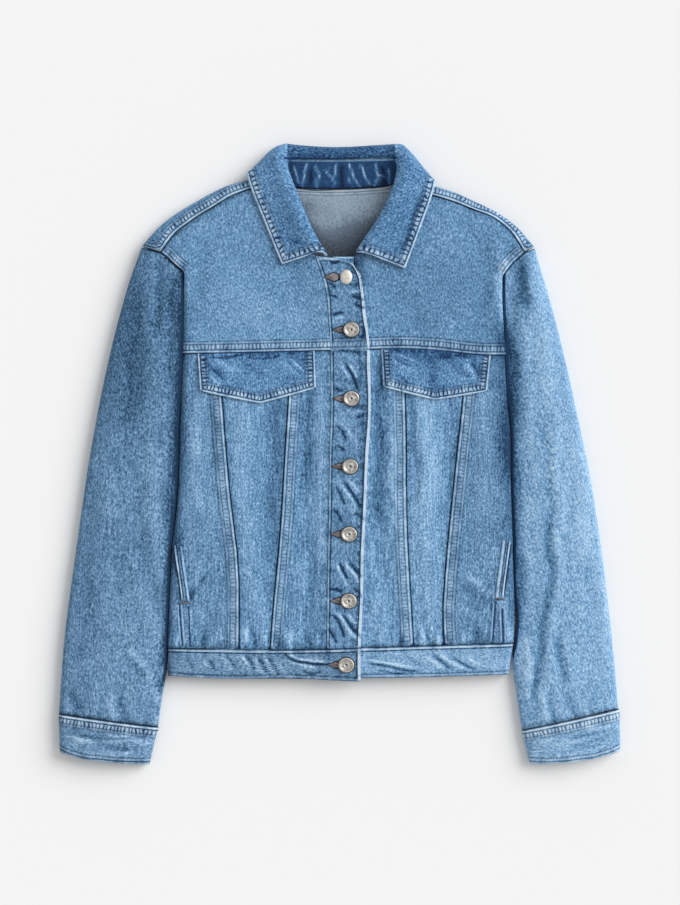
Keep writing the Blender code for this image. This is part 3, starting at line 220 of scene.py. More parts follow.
# Soft drapes and sharper creases on the drawing's grid, (x0, y0, x1, y1, half width, height in millimetres)
CREASES = (
    # right front
    (240, 402, 243, 560, 11, 1.3), (276, 402, 268, 600, 8, -1.2), (197, 395, 194, 520, 9, 0.9),
    (308, 390, 306, 500, 6, -1.0), (321, 385, 320, 560, 5, 0.6), (214, 400, 216, 470, 4, -0.5),
    (250, 560, 262, 640, 10, 0.7), (228, 500, 226, 600, 8, -0.6), (200, 560, 192, 590, 5, 0.9),
    (206, 575, 190, 596, 3, -0.9), (188, 610, 192, 640, 5, 0.7), (212, 600, 204, 642, 6, -0.5),
    (300, 560, 296, 642, 7, 0.7), (314, 540, 310, 640, 5, -0.6), (160, 350, 158, 420, 8, 0.6),
    # right front along the waist seam
    (244, 629, 251, 646, 3, 1.1), (251, 631, 257, 646, 2.4, -1.1), (264, 634, 268, 647, 3, 0.9),
    (276, 632, 279, 647, 2.6, -0.9), (284, 630, 290, 647, 3, 1.0), (222, 634, 219, 647, 3, 0.7),
    (206, 634, 202, 646, 3, -0.8), (178, 636, 174, 647, 3, 0.9), (305, 632, 309, 647, 3, -0.7),
    # left front
    (398, 388, 402, 520, 7, -0.8), (421, 390, 424, 560, 12, 1.3), (411, 395, 417, 500, 5, -1.0),
    (382, 360, 380, 560, 7, -1.1), (392, 380, 393, 520, 4, 0.6), (452, 400, 448, 560, 8, -0.6),
    (482, 395, 484, 520, 8, 0.9), (468, 577, 500, 599, 3.2, 1.0), (462, 586, 494, 606, 3, -0.8),
    (459, 604, 490, 632, 3.4, 0.7), (481, 512, 508, 556, 5, -0.6), (474, 530, 500, 572, 5, 0.6),
    (436, 560, 430, 640, 9, 0.6), (392, 560, 398, 640, 8, -0.6), (376, 590, 384, 640, 7, 0.6),
    (478, 620, 472, 642, 4, -0.6), (504, 600, 508, 640, 4, 0.8),
    # left front along the waist seam
    (419, 630, 426, 646, 3, 1.0), (427, 632, 432, 646, 2.5, -1.0), (436, 634, 441, 646, 3, 0.9),
    (448, 634, 444, 645, 3, -0.7), (462, 633, 466, 645, 3, 0.8), (404, 635, 400, 647, 3, -0.7),
    (383, 634, 388, 647, 3, 0.7), (489, 634, 492, 644, 3, -0.8),
    # right yoke
    (190, 250, 170, 296, 12, 0.7), (268, 215, 300, 280, 14, -0.6), (206, 240, 196, 320, 10, -0.5),
    (178, 268, 186, 300, 6, 0.6), (184, 262, 176, 284, 4, -0.8),
    # left yoke
    (500, 240, 498, 292, 7, 1.2), (490, 244, 486, 330, 9, -0.9), (506, 262, 503, 318, 4, 0.9),
    (390, 280, 420, 330, 14, -0.6), (470, 300, 440, 340, 10, 0.5), (440, 214, 458, 250, 10, 0.5),
    # right sleeve
    (160, 262, 158, 330, 5, -1.8), (152, 270, 148, 420, 9, 1.1), (138, 300, 126, 420, 12, -0.9),
    (170, 290, 172, 480, 5, -1.4), (118, 380, 104, 520, 12, 0.9), (150, 440, 158, 560, 8, 0.8),
    (135, 480, 150, 600, 9, -1.1), (160, 560, 166, 640, 6, 0.9), (90, 480, 84, 600, 10, -0.7),
    (104, 560, 112, 680, 11, 1.0), (140, 590, 158, 640, 6, 1.1), (128, 650, 152, 676, 4, 0.9),
    (132, 660, 156, 690, 3.4, -0.9), (146, 676, 162, 704, 3.4, 0.9), (88, 660, 96, 708, 5, 0.8),
    (70, 690, 84, 712, 4, -0.8), (108, 696, 118, 720, 4, 0.8), (120, 700, 128, 722, 3, -0.7),
    (160, 660, 168, 668, 3, -1.2), (156, 684, 162, 702, 3, -1.0),
    # left sleeve
    (520, 262, 527, 306, 6, -2.0), (532, 270, 552, 400, 10, 1.2), (512, 300, 513, 470, 5, -1.8),
    (544, 420, 550, 520, 6, -1.1), (553, 430, 560, 540, 8, 1.0), (546, 520, 552, 574, 4, -1.2),
    (556, 540, 560, 600, 6, 1.0), (552, 574, 544, 618, 4, -1.2), (543, 618, 538, 676, 4, -1.3),
    (552, 610, 549, 680, 6, 1.1), (538, 676, 532, 694, 4, -1.2), (558, 640, 564, 682, 4, -0.9),
    (566, 636, 574, 690, 5, 0.9), (547, 700, 557, 722, 3, -0.9), (540, 690, 548, 720, 3.4, 0.9),
    (566, 692, 574, 716, 3.4, -0.7), (588, 560, 596, 660, 8, -0.7), (578, 440, 586, 560, 10, 0.7),
    (524, 330, 530, 440, 6, 0.7), (522, 480, 528, 600, 6, 0.8), (526, 640, 530, 700, 4, 0.8),
    # cuffs
    (68, 736, 92, 742, 3, 0.6), (96, 742, 128, 750, 3, -0.5), (110, 734, 150, 744, 3, 0.6),
    (540, 744, 570, 738, 3, 0.6), (570, 746, 606, 738, 3, -0.5), (580, 728, 612, 726, 3, 0.5),
    # flaps
    (204, 362, 222, 374, 3, -0.5), (214, 358, 236, 372, 4, 0.5), (282, 360, 304, 378, 4, 0.5),
    (244, 362, 262, 376, 4, -0.4), (392, 358, 412, 370, 4, 0.5), (430, 360, 434, 390, 4, -0.4),
    (466, 364, 480, 384, 4, 0.5), (448, 358, 462, 372, 4, -0.4),
)

# Sharp crumples, pale ridges and dark troughs along lines on the drawing: (half width, strength, x, y, x, y, ...)
CRUMPLES = (
    # waistband
    (1.3, -2.1, 282, 651, 286, 655, 291, 658.6, 306, 662.4, 318, 664, 328, 664),
    (1.5, 1.1, 286, 652.6, 293, 656.4, 308, 660, 326, 661.6), (1.4, 0.9, 286, 659, 296, 663, 314, 667.4),
    (1.2, 1.3, 240, 653, 245, 660, 251, 669), (1.2, -1.6, 244.4, 653, 249, 660, 254.4, 669),
    (1.2, 1.3, 253, 655, 256.6, 663, 261, 672), (1.3, -1.8, 257, 654, 261.4, 661, 267, 671),
    (1.2, 1.4, 261.4, 654, 267, 663, 274.6, 674), (1.2, -1.4, 267, 655, 273, 664, 279, 673),
    (1.1, 1.0, 273, 657, 279, 666, 284, 674), (1.0, -1.3, 225, 653, 231, 661, 237, 668),
    (1.1, 0.9, 219, 653, 226, 662, 231, 669), (1.0, -1.1, 205, 654, 211, 662, 214, 668),
    (1.0, 0.8, 199, 654, 204, 661, 209, 668), (1.0, -1.0, 184, 654, 189, 661, 192, 667),
    (1.1, -1.3, 300, 668, 310, 673, 320, 672), (1.1, 0.9, 328, 669, 336, 664, 341, 668),
    (1.3, -1.9, 363, 662.4, 374, 664, 388, 666, 402, 669.6, 416, 671),
    (1.3, 1.0, 366, 659.6, 380, 662, 396, 664.6, 412, 667.6), (1.1, -1.3, 374, 668, 392, 672.6, 404, 673.6),
    (1.2, 1.1, 424, 653, 432, 660, 442, 668), (1.2, -1.8, 430, 652, 438, 658.6, 450, 668),
    (1.2, 1.1, 438, 652, 448, 660, 462, 668), (1.1, -1.4, 448, 654, 460, 662, 474, 669),
    (1.0, 0.9, 464, 655, 474, 662, 486, 667), (1.0, -1.1, 404, 654, 412, 659, 420, 666),
    # above the waist seam
    (1.2, -1.2, 285, 645, 283.4, 640, 281, 632, 280, 626), (1.2, 1.0, 289, 646, 291, 640, 292, 632),
    (1.0, -0.9, 241, 646, 240, 641, 237, 634), (1.1, 0.9, 245, 646, 246, 639, 245, 632),
    (1.0, -0.9, 250, 646, 251, 640, 249, 635), (1.0, -0.8, 257, 646, 259, 640, 259, 635),
    (1.0, 0.8, 262, 646, 264, 639, 263, 632), (1.0, -0.9, 266.6, 646, 268, 640, 267, 634),
    (1.0, -0.8, 197, 647, 196, 642, 193, 637), (1.0, -0.7, 219, 647, 218, 641, 220, 636),
    (1.1, -1.1, 322.4, 646, 321.6, 634, 320, 622), (1.0, -0.7, 312, 646, 310, 640, 307, 634),
    (1.0, 0.7, 318, 646, 319, 640, 317, 634), (1.1, -0.9, 424, 645, 422, 638, 418, 632),
    (1.0, 0.8, 430, 645, 431, 638, 428, 632), (1.0, -0.8, 444, 645, 445, 639, 442, 633),
    (1.0, -0.8, 388, 646, 387, 640, 390, 634), (1.0, 0.7, 462, 645, 463, 639, 466, 633),
    (1.0, -0.7, 478, 644, 480, 638, 478, 632), (1.0, -0.7, 402, 646, 403, 639, 400, 634),
    # placket, from the top down
    (1.5, -1.6, 326, 283, 330, 284, 335, 287), (1.4, 0.8, 329, 280, 338, 281, 344, 284),
    (1.4, -1.4, 327, 297, 332, 296, 337, 298), (1.4, -1.7, 349, 298, 355, 297, 361, 300),
    (1.3, 0.9, 347, 294, 355, 292, 361, 291), (1.3, -1.7, 353, 303, 358, 306, 362, 308),
    (1.2, 0.9, 350, 307, 356, 310, 362, 313), (1.3, -1.7, 331, 317, 336, 314, 342, 313),
    (1.3, 0.9, 333, 321, 338, 318, 343, 318), (1.6, -1.7, 329, 261, 334, 263, 338, 262),
    (1.6, -1.4, 352, 262, 357, 264, 359, 270), (1.5, -1.6, 330, 274, 335, 277, 342, 279),
    (1.3, -1.6, 361, 326, 363, 332, 362, 338), (1.4, -1.4, 334, 351.6, 346, 351, 359, 352.6),
    (1.3, -2.0, 343, 360, 348, 368, 353.6, 378, 357, 388), (1.3, 1.1, 346.6, 360, 351, 367, 356.6, 377),
    (1.2, 0.8, 340, 362, 344, 370, 349, 379), (1.3, -1.4, 334, 386, 338, 390, 342, 391),
    (1.2, -1.6, 350, 409, 356, 407, 362, 407), (1.2, -1.6, 354, 420, 358, 417, 363, 416),
    (1.2, 0.8, 352, 414, 358, 412, 362, 411.6), (1.2, 0.8, 340, 423, 346, 428, 352, 437),
    (1.3, -1.6, 335, 424, 341, 430, 346, 440), (1.2, -1.4, 333, 448, 338, 446, 343, 450),
    (1.3, 0.9, 337, 480, 343, 488, 350, 497, 356, 509), (1.3, -1.9, 341, 478, 347, 486, 354, 496, 360, 506),
    (1.2, -1.6, 334, 484, 339, 492, 344, 503), (1.2, 0.9, 346, 477, 354, 486, 361, 494),
    (1.3, -1.6, 330, 508, 336, 512, 341, 520), (1.2, -1.6, 352, 516, 358, 514, 361, 518),
    (1.3, 1.1, 334, 560, 338, 568, 342, 576, 346, 584), (1.3, -1.9, 338, 560, 342, 568, 347, 578),
    (1.3, 1.1, 341, 558, 347, 566, 354, 574, 358, 582), (1.2, -1.7, 348, 560, 354, 568, 360, 576),
    (1.3, -1.9, 327, 590, 334, 589, 341, 591), (1.2, -1.6, 352, 588, 357, 591, 360, 596),
    (1.4, 1.2, 329, 609, 336, 612, 341, 617, 347, 627, 352, 634, 359, 643),
    (1.3, -1.9, 328, 613, 335, 617, 340, 625, 344, 636), (1.3, -1.9, 340, 612, 346, 619, 353, 629, 360, 637),
    (1.2, 0.9, 345, 610, 352, 619, 360, 627), (1.3, -1.6, 326, 626, 331, 632, 336, 641),
    (1.2, 0.8, 327, 630, 329, 637, 331, 645),
    # flaps
    (1.4, -0.9, 206, 357, 222, 358, 240, 355.6), (1.3, 0.7, 208, 353.6, 224, 354, 242, 353),
    (1.3, -0.8, 244, 357, 262, 358.6, 280, 356), (1.3, -0.8, 284, 360, 292, 366, 300, 374),
    (1.2, 0.8, 288, 358, 296, 364, 302, 370), (1.3, -0.9, 208, 368, 216, 372, 224, 380),
    (1.2, 0.7, 207, 375, 214, 379, 220, 386), (1.3, -0.9, 392, 356, 400, 362, 410, 366),
    (1.3, 0.8, 394, 352, 404, 357, 414, 361), (1.3, -0.8, 430, 356, 446, 357.6, 462, 355),
    (1.3, -0.9, 468, 360, 474, 366, 478, 374), (1.2, 0.7, 464, 362, 470, 369, 474, 378),
    (1.3, -0.7, 394, 372, 402, 377, 408, 384),
    # cuffs and sleeve ends
    (1.3, -1.0, 62, 733, 86, 736, 110, 738, 136, 738), (1.2, 0.8, 66, 737, 92, 741, 120, 742),
    (1.1, -0.7, 100, 746, 124, 749, 146, 748), (1.2, 0.7, 84, 752, 108, 754, 132, 752),
    (1.3, -1.0, 538, 744, 560, 740, 584, 735, 606, 731), (1.2, 0.8, 546, 747, 570, 743, 596, 738),
    (1.1, -0.7, 556, 752, 580, 749, 604, 743), (1.3, -1.1, 150, 668, 158, 680, 163, 694, 165, 706),
    (1.2, 0.9, 145, 672, 153, 684, 158, 698), (1.2, -0.9, 524, 676, 530, 688, 532, 704),
    # pocket ends
    (1.5, -1.8, 186, 603, 190.4, 602, 192, 596, 192.6, 589), (1.2, 0.8, 190, 604, 196, 608, 201, 616),
    (1.3, -1.1, 496, 596, 494, 601, 490, 594, 487, 588), (1.2, 0.8, 492, 604, 486, 609, 482, 616),
)

# Darker and paler places of the cloth, (x0, y0, x1, y1, half width, how much paler): faded and darker patches, and
# painted shade in the furrows between sleeves and body, beside the placket's free edge and by the collar's border;
# the sleeve on the wearer's right is painted darker and the left one paler, as lit from the wearer's left
TONES = (
    (206, 352, 304, 352, 9, -0.16), (204, 360, 206, 380, 7, -0.12), (304, 356, 306, 378, 7, -0.14),
    (386, 350, 478, 354, 9, -0.24), (470, 360, 486, 380, 8, -0.14), (434, 362, 434, 386, 8, -0.08),
    (176, 275, 183, 420, 9, -0.22), (178, 420, 172, 560, 9, -0.34), (169, 560, 164, 650, 7, -0.26),
    (506, 330, 512, 480, 13, -0.42), (514, 480, 518, 620, 10, -0.30), (520, 262, 526, 306, 9, -0.36),
    (150, 262, 120, 420, 40, -0.20), (120, 300, 84, 640, 30, -0.06), (590, 420, 612, 660, 30, 0.10),
    (240, 402, 246, 520, 10, 0.03), (277, 402, 272, 560, 9, -0.10), (421, 395, 428, 540, 12, 0.05),
    (380, 360, 379, 520, 8, -0.22), (308, 392, 306, 480, 6, -0.18), (411, 395, 417, 470, 5, -0.16),
    (455, 400, 452, 500, 7, -0.10), (195, 400, 198, 500, 8, 0.07), (320, 390, 322, 560, 4, 0.10),
    (178, 660, 330, 668, 16, 0.08), (378, 662, 512, 660, 16, 0.10), (60, 744, 160, 752, 16, 0.08),
    (520, 752, 618, 742, 16, 0.10), (285, 210, 300, 250, 14, -0.06), (230, 310, 310, 320, 20, 0.05),
    (228, 340, 250, 200, 30, 0.04), (400, 250, 480, 320, 24, -0.04), (440, 644, 360, 648, 5, -0.10),
    (170, 645, 320, 646, 4, -0.12), (500, 240, 497, 300, 6, 0.10), (352, 250, 352, 290, 8, -0.10),
    (350, 330, 352, 340, 10, -0.12), (340, 380, 352, 386, 9, -0.12), (340, 452, 350, 458, 9, -0.12),
    (338, 520, 350, 530, 9, -0.12), (336, 590, 350, 600, 9, -0.12), (358, 250, 366, 640, 4, -0.06),
    (205, 386, 258, 398, 4, 0.12), (266, 398, 316, 384, 4, 0.12), (204, 356, 203, 376, 4, -0.10),
    (311, 354, 312, 374, 4, -0.12), (387, 384, 432, 395, 4, 0.12), (440, 395, 482, 388, 4, 0.12),
    (385, 354, 387, 374, 4, -0.10), (484, 356, 484, 376, 4, -0.10), (360, 350, 364, 440, 3, -0.10),
    (424, 190, 403, 250, 4, -0.22), (412, 165, 392, 240, 12, -0.07), (284, 240, 300, 245, 4, -0.14),
)


def on_plan(rows):
    """Rows of the drawing's grid with the first four columns as millimetres of the row frame."""
    rows = np.array(rows, float)
    rows[:, 0:3:2] = (rows[:, 0:3:2] - MIDDLE[0]) * UNIT
    rows[:, 1:4:2] = (MIDDLE[1] - rows[:, 1:4:2]) * UNIT
    rows[:, 4] *= UNIT
    return rows


def smooth(a):
    a = np.clip(a, 0.0, 1.0)
    return a * a * (3.0 - 2.0 * a)


def strokes(rows, spots):
    """Sum of soft strokes at spots in millimetres."""
    total = np.zeros(len(spots))
    for x0, y0, x1, y1, half, tall in rows:
        way = np.array((x1 - x0, y1 - y0))
        length = max(math.hypot(*way), 1e-6)
        way = way / length
        off = spots - (x0, y0)
        along = off @ way
        near = (along > -2.5 * half) & (along < length + 2.5 * half)
        across = off[near, 0] * way[1] - off[near, 1] * way[0]
        along = along[near]
        past = np.maximum(-along, along - length)
        past = np.maximum(past + 0.35 * min(length, 3 * half), 0.0) / (1.4 * half)
        wander = 0.25 * half * np.sin(along / (1.7 * half) + x0)
        total[near] += tall * np.exp(-(((across + wander) / half) ** 2) * 1.4 - past ** 2)
    return total


CREASES = on_plan(CREASES)
TONES = on_plan(TONES)


def crumple(spots):
    """Sum of the sharp crumples at spots in millimetres."""
    total = np.zeros(len(spots))
    for half, tall, *way in CRUMPLES:
        line = Line([((x - MIDDLE[0]) * UNIT, (MIDDLE[1] - y) * UNIT) for x, y in zip(way[::2], way[1::2])], False)
        low, high = line.points.min(axis=0) - 8.0, line.points.max(axis=0) + 8.0
        near = ((spots > low) & (spots < high)).all(axis=1)
        if near.any():
            away, place = line.near(spots[near])
            long = float(place.max()) + 1e-6
            ends = smooth(4.0 * place / long) * smooth(4.0 * (long - place) / long)
            total[near] += tall * np.exp(-(away / (half * UNIT)) ** 2 * 1.2) * ends
    return total


def wobble(a, seed):
    """Smooth uneven wave of a length in millimetres, about -1 to 1."""
    return (np.sin(a * 0.61 + seed) + np.sin(a * 0.37 + 2.1 * seed) + np.sin(a * 1.13 + 0.7 * seed)) / 2.2


# Puckers along seams, (seam, reach, pitch, height)
PUCKERS = (
    ("waist", 13.0, 15.0, 0.45), ("chest", 9.0, 13.0, 0.30), ("cuff_top", 12.0, 14.0, 0.45), ("side", 8.0, 17.0, 0.25),
    ("centre", 8.0, 17.0, 0.25), ("placket_in", 9.0, 12.0, 0.40), ("placket_out", 7.0, 13.0, 0.35),
    ("hem", 10.0, 13.0, 0.35), ("armhole", 10.0, 12.0, 0.4), ("flap", 8.0, 14.0, 0.25), ("cuff_low", 9.0, 12.0, 0.3),
)
PUCKERED = [(LINES[name + end], *row) for name, *row in PUCKERS for end in ("", "_r", "_l") if name + end in LINES]


def relief(spots):
    """Height over the smooth form at spots, in millimetres: of all creases, and of the sharp and worn ones."""
    fine = CREASES[:, 4] < 5.0 * UNIT
    worn = strokes(CREASES[fine], spots)
    height = strokes(CREASES[~fine], spots) + worn
    for seed, (line, reach, pitch, tall) in enumerate(PUCKERED, 1):
        low, high = line.points.min(axis=0) - 3 * reach, line.points.max(axis=0) + 3 * reach
        near = ((spots > low) & (spots < high)).all(axis=1)
        if near.any():
            away, place = line.near(spots[near])
            pucker = tall * np.exp(-(away / reach) ** 2) * wobble(place * 9.0 / pitch, seed)
            height[near] += pucker
            worn[near] += 0.8 * pucker
    return height, worn


# ---- materials ----------------------------------------------------------------------------------------------------

class Graph:
    """Short way to write shader nodes."""

    def __init__(self, name):
        self.material = bpy.data.materials.new(name)
        self.material.use_nodes = True
        self.tree = self.material.node_tree
        self.shader = self.tree.nodes["Principled BSDF"]

    def put(self, socket, value):
        if isinstance(value, bpy.types.NodeSocket):
            self.tree.links.new(value, socket)
        else:
            socket.default_value = value

    def node(self, kind, inputs=(), **settings):
        made = self.tree.nodes.new(kind)
        for key, value in settings.items():
            setattr(made, key, value)
        for key, value in dict(inputs).items():
            self.put(made.inputs[key], value)
        return made

    def math(self, how, a, b=0.0, c=0.0):
        return self.node("ShaderNodeMath", {0: a, 1: b, 2: c}, operation=how).outputs[0]

    def add(self, *terms):
        total = terms[0]
        for term in terms[1:]:
            total = self.math("ADD", total, term)
        return total

    def mul(self, *terms):
        total = terms[0]
        for term in terms[1:]:
            total = self.math("MULTIPLY", total, term)
        return total

    def less(self, a, b):
        return self.math("SUBTRACT", a, b)

    def least(self, a, b):
        return self.math("MINIMUM", a, b)

    def step(self, value, low, high):
        """Smooth step from 0 at low to 1 at high."""
        made = self.node("ShaderNodeMapRange", {"Value": value, "From Min": low, "From Max": high},
                         interpolation_type="SMOOTHSTEP")
        return made.outputs[0]

    def attribute(self, name):
        return self.node("ShaderNodeAttribute", attribute_name=name)

    def split(self, vector):
        return self.node("ShaderNodeSeparateXYZ", {0: vector}).outputs

    def noise(self, vector, size, detail=2.0, rough=0.55):
        """Noise with features of a size in millimetres along each axis, about 0.5 in the middle."""
        scaled = self.node("ShaderNodeVectorMath", {0: vector, 1: [1.0 / s for s in size]}, operation="MULTIPLY")
        made = self.node("ShaderNodeTexNoise", {"Vector": scaled.outputs[0], "Scale": 1.0, "Detail": detail,
                                                "Roughness": rough})
        return made.outputs[0]

    def speckle(self, spot, scale, detail):
        return self.node("ShaderNodeTexNoise", {"Vector": spot, "Scale": scale, "Detail": detail}).outputs[0]

    def ramp(self, value, stops):
        made = self.node("ShaderNodeValToRGB", {"Fac": value})
        ramp = made.color_ramp
        while len(ramp.elements) < len(stops):
            ramp.elements.new(0.5)
        for element, (place, colour) in zip(ramp.elements, stops):
            element.position = place
            element.color = (*colour, 1.0)
        return made.outputs[0]

    def surface(self, **values):
        """Set inputs of the shader, named with low lines for spaces."""
        for key, value in values.items():
            self.put(self.shader.inputs[key.replace("_", " ")], value)

    def bump(self, strength, distance, height):
        made = self.node("ShaderNodeBump", {"Strength": strength, "Distance": distance, "Height": height})
        self.surface(Normal=made.outputs[0])


def rgb(text):
    """Linear colour of a hexadecimal one."""
    values = [int(text[i:i + 2], 16) / 255.0 for i in (0, 2, 4)]
    return tuple(v / 12.92 if v <= 0.04045 else ((v + 0.055) / 1.055) ** 2.4 for v in values)


def stops(colours, places=(0.0, 0.25, 0.5, 0.72, 1.0)):
    """A ramp's places and colours, dark to pale."""
    return [(place, rgb(colour)) for place, colour in zip(places, colours.split())]


def denim(name, wash, worn, level, contrast):
    """Washed denim: slubs along the grain, pale roping between the stitches of a band, worn rims, painted shade at
    laps.
    """
    g = Graph(name)
    cloth = g.attribute("grain").outputs["Vector"]
    away, place, width = g.split(g.attribute("edge").outputs["Vector"])
    ribs, rim, under = g.split(g.attribute("style").outputs["Vector"])
    tone = g.attribute("tone").outputs["Fac"]
    streaky = g.attribute("streak").outputs["Fac"]
    grey = g.attribute("grey").outputs["Fac"]

    def ridge(centre, half):
        """1 where the distance to the seam is near centre, fading to 0."""
        gap = g.math("ABSOLUTE", g.less(away, centre))
        return g.less(1.0, g.step(gap, 0.25 * half, half))

    slub = g.noise(cloth, (1.7, 3.0, 2.0), 0.0)
    fleck = g.noise(cloth, (1.15, 1.9, 1.0), 1.0, 0.5)
    streak = g.noise(cloth, (1.9, 24.0, 6.0), 1.0, 0.5)
    blotch = g.noise(cloth, (9.0, 20.0, 20.0), 2.0, 0.55)
    cloud = g.noise(cloth, (60.0, 90.0, 60.0), 2.0, 0.5)
    shake = g.noise(cloth, (7.0, 7.0, 7.0), 1.0)
    tick = g.mul(g.step(g.math("SINE", g.add(g.mul(place, 1.5), g.mul(shake, 8.0))), 0.0, 0.7), g.add(0.35, shake))
    mottle = g.math("SINE", g.add(g.mul(place, 0.21), g.mul(cloud, 14.0), g.mul(blotch, 7.0)))
    dash = g.math("SINE", g.mul(place, 1.9))
    lap_shadow_mask = g.least(rim, 1.0)
    first_row = g.step(away, 3.8, 4.8)
    ladder = g.mul(first_row, g.less(1.0, g.step(away, g.less(width, 4.4), g.less(width, 3.4))))
    seam_line = g.mul(ridge(3.7, 1.25), g.add(0.8, g.mul(dash, 0.2)))
    far_line = g.mul(ridge(g.less(width, 3.6), 1.1), g.add(0.8, g.mul(dash, 0.2)))
    wide = g.step(width, 3.0, 8.0)
    bold = g.step(ribs, 1.1, 1.4)
    plain = g.less(1.0, g.mul(bold, 0.65))
    band = g.mul(g.least(ribs, 1.0), g.less(1.0, g.step(away, g.less(width, 1.0), width)))
    pale_edge = g.mul(ridge(2.0, 1.7), rim, g.add(0.62, g.mul(shake, 0.7)))
    value = g.add(
        level,
        g.mul(g.add(g.mul(g.less(slub, 0.5), 0.66),
                    g.mul(g.less(fleck, 0.5), 0.62),
                    g.mul(g.less(streak, 0.5), streaky, 0.75)),
              contrast, g.less(1.0, g.mul(band, 0.55))),
        g.mul(g.less(blotch, 0.5), 0.18 * contrast),
        g.mul(g.less(cloud, 0.5), 0.14 * contrast),
        g.mul(ladder, ribs, g.less(0.20, g.mul(tick, 0.36))),
        g.mul(mottle, band, 0.08),
        g.mul(g.add(g.mul(seam_line, -0.32), g.mul(far_line, plain, g.mul(wide, -0.24))), ribs),
        g.mul(ridge(width, 1.2), g.least(ribs, 1.0), plain, -0.26),
        g.mul(ridge(g.less(width, 1.8), 1.3), g.least(ribs, 1.0), wide, plain, 0.13),
        g.mul(ridge(g.less(width, 3.8), 5.0), bold, tick, wide, -0.34),
        g.mul(pale_edge, 0.27),
        # painted shadow: a dark line at a lap's edge, and darker cloth beside a lap where under is set
        g.mul(ridge(0.0, 1.15), lap_shadow_mask, -0.46),
        g.mul(ridge(0.0, 1.5), under, -0.70),
        g.mul(g.less(1.0, g.step(away, 1.0, 7.0)), under, -0.08),
        tone,
    )
    greyer = g.least(g.add(g.mul(band, 0.6), grey), 1.0)
    mixed = g.node("ShaderNodeMixRGB", {"Fac": greyer, "Color1": g.ramp(value, wash), "Color2": g.ramp(value, worn)})
    g.surface(Base_Color=mixed.outputs[0], Roughness=0.88, Specular_IOR_Level=0.15, Sheen_Weight=0.05,
              Sheen_Roughness=0.5)
    height = g.add(g.mul(slub, 0.4), g.mul(fleck, 0.25), g.mul(streak, 0.25), g.mul(ladder, ribs, tick, -0.5),
                   g.mul(pale_edge, 0.4), g.mul(seam_line, ribs, -0.5))
    g.bump(0.45, 0.0006, height)
    return g.material


def metal(name, colours, roughness):
    """Aged nickel: fine grain and uneven stains."""
    g = Graph(name)
    spot = g.node("ShaderNodeTexCoord").outputs["Object"]
    grain = g.speckle(spot, 1400.0, 3.0)
    stain = g.speckle(spot, 260.0, 2.0)
    worn = g.add(g.mul(grain, 0.5), g.mul(stain, 0.5))
    g.surface(Base_Color=g.ramp(worn, stops(colours, (0.3, 0.6))), Metallic=0.75)
    g.surface(Roughness=g.add(roughness, g.mul(grain, 0.2)))
    g.bump(0.25, 0.0002, grain)
    return g.material


def thread(name, colours):
    """Spun thread: fine twist and uneven fading."""
    g = Graph(name)
    spot = g.node("ShaderNodeTexCoord").outputs["Object"]
    fade = g.speckle(spot, 120.0, 3.0)
    twist = g.speckle(spot, 2600.0, 1.0)
    worn = g.add(g.mul(fade, 0.7), g.mul(twist, 0.3))
    g.surface(Base_Color=g.ramp(worn, stops(colours, (0.35, 0.65))), Roughness=0.7, Specular_IOR_Level=0.25)
    g.bump(0.3, 0.0002, twist)
    return g.material


WASH = stops("193657 42698c 648fb6 8cb5da bedcf2")
BLUE = stops("16335b 3d668f 628eb9 8cb6dd bedcf2")
WORN = stops("203852 4a6a87 7795b3 a0bad3 cbdcea")
INDIGO = stops("10223f 274a75 4d7aa5 adc6da", (0.0, 0.3, 0.6, 1.0))
REVERSE = stops("383f49 69798a 9aadbd cdd8df", (0.0, 0.35, 0.6, 1.0))

DENIM = denim("denim", WASH, WORN, 0.5, 1.0)
DENIM_BLUE = denim("denim_blue", BLUE, WORN, 0.5, 1.12)
DENIM_INSIDE = denim("denim_reverse", REVERSE, REVERSE, 0.5, 0.4)
DENIM_DARK = denim("denim_unfaded", INDIGO, INDIGO, 0.34, 0.42)
STEEL = metal("aged_nickel", "8e8983 d8d5cf", 0.36)
IVORY = metal("worn_cap", "c2bcb0 f0eee6", 0.5)
# dark nickel, also used for a painted shadow ring round each button
DARK_STEEL_AND_SHADOW = metal("nickel_recess_and_shadow", "24201b 4c463e", 0.5)
SLATE_THREAD = thread("slate_thread", "33456b 6f7f9c")
NAVY_THREAD = thread("navy_thread", "14294e 26467a")
POCKET_GAP_SHADE = thread("pocket_gap_shade", "123053 1b4376")
TACK_THREAD = thread("tack_thread", "43485a 97989f")
RUBBED_DENIM = thread("rubbed_denim", "7ba0c8 a3c2e2")
TAN_THREAD = thread("tan_thread", "5a5358 948d8e")
SLIT = thread("buttonhole_slit", "0d1526 1c2a44")


# ---- shells of cloth ----------------------------------------------------------------------------------------------

def walls(bm):
    """Mark sharp edges and corners for the subdivision, and return the groups of faces that such edges bound."""
    crease = bm.edges.layers.float.new("crease_edge")
    for edge in bm.edges:
        if len(edge.link_faces) == 2 and edge.calc_face_angle() > SHARP:
            edge[crease] = 1.0
    corner = bm.verts.layers.float.new("crease_vert")
    for vert in bm.verts:
        ways = [(e.other_vert(vert).co - vert.co).normalized() for e in vert.link_edges if e[crease] > 0.5]
        if len(ways) == 2:
            turn = ways[0].cross(-ways[1])
            if turn.length > math.sin(CORNER) and abs(turn.z) > 0.85 * turn.length:
                vert[corner] = 1.0
    groups = []
    seen = set()
    for face in bm.faces:
        if face in seen:
            continue
        group, todo = [], [face]
        seen.add(face)
        while todo:
            at = todo.pop()
            group.append(at)
            for edge in at.edges:
                if edge[crease] < 0.5:
                    for other in edge.link_faces:
                        if other not in seen:
                            seen.add(other)
                            todo.append(other)
        groups.append(group)
    return groups


def placed(name, data):
    """New object in the scene."""
    made = bpy.data.objects.new(name, data)
    bpy.context.scene.collection.objects.link(made)
    return made


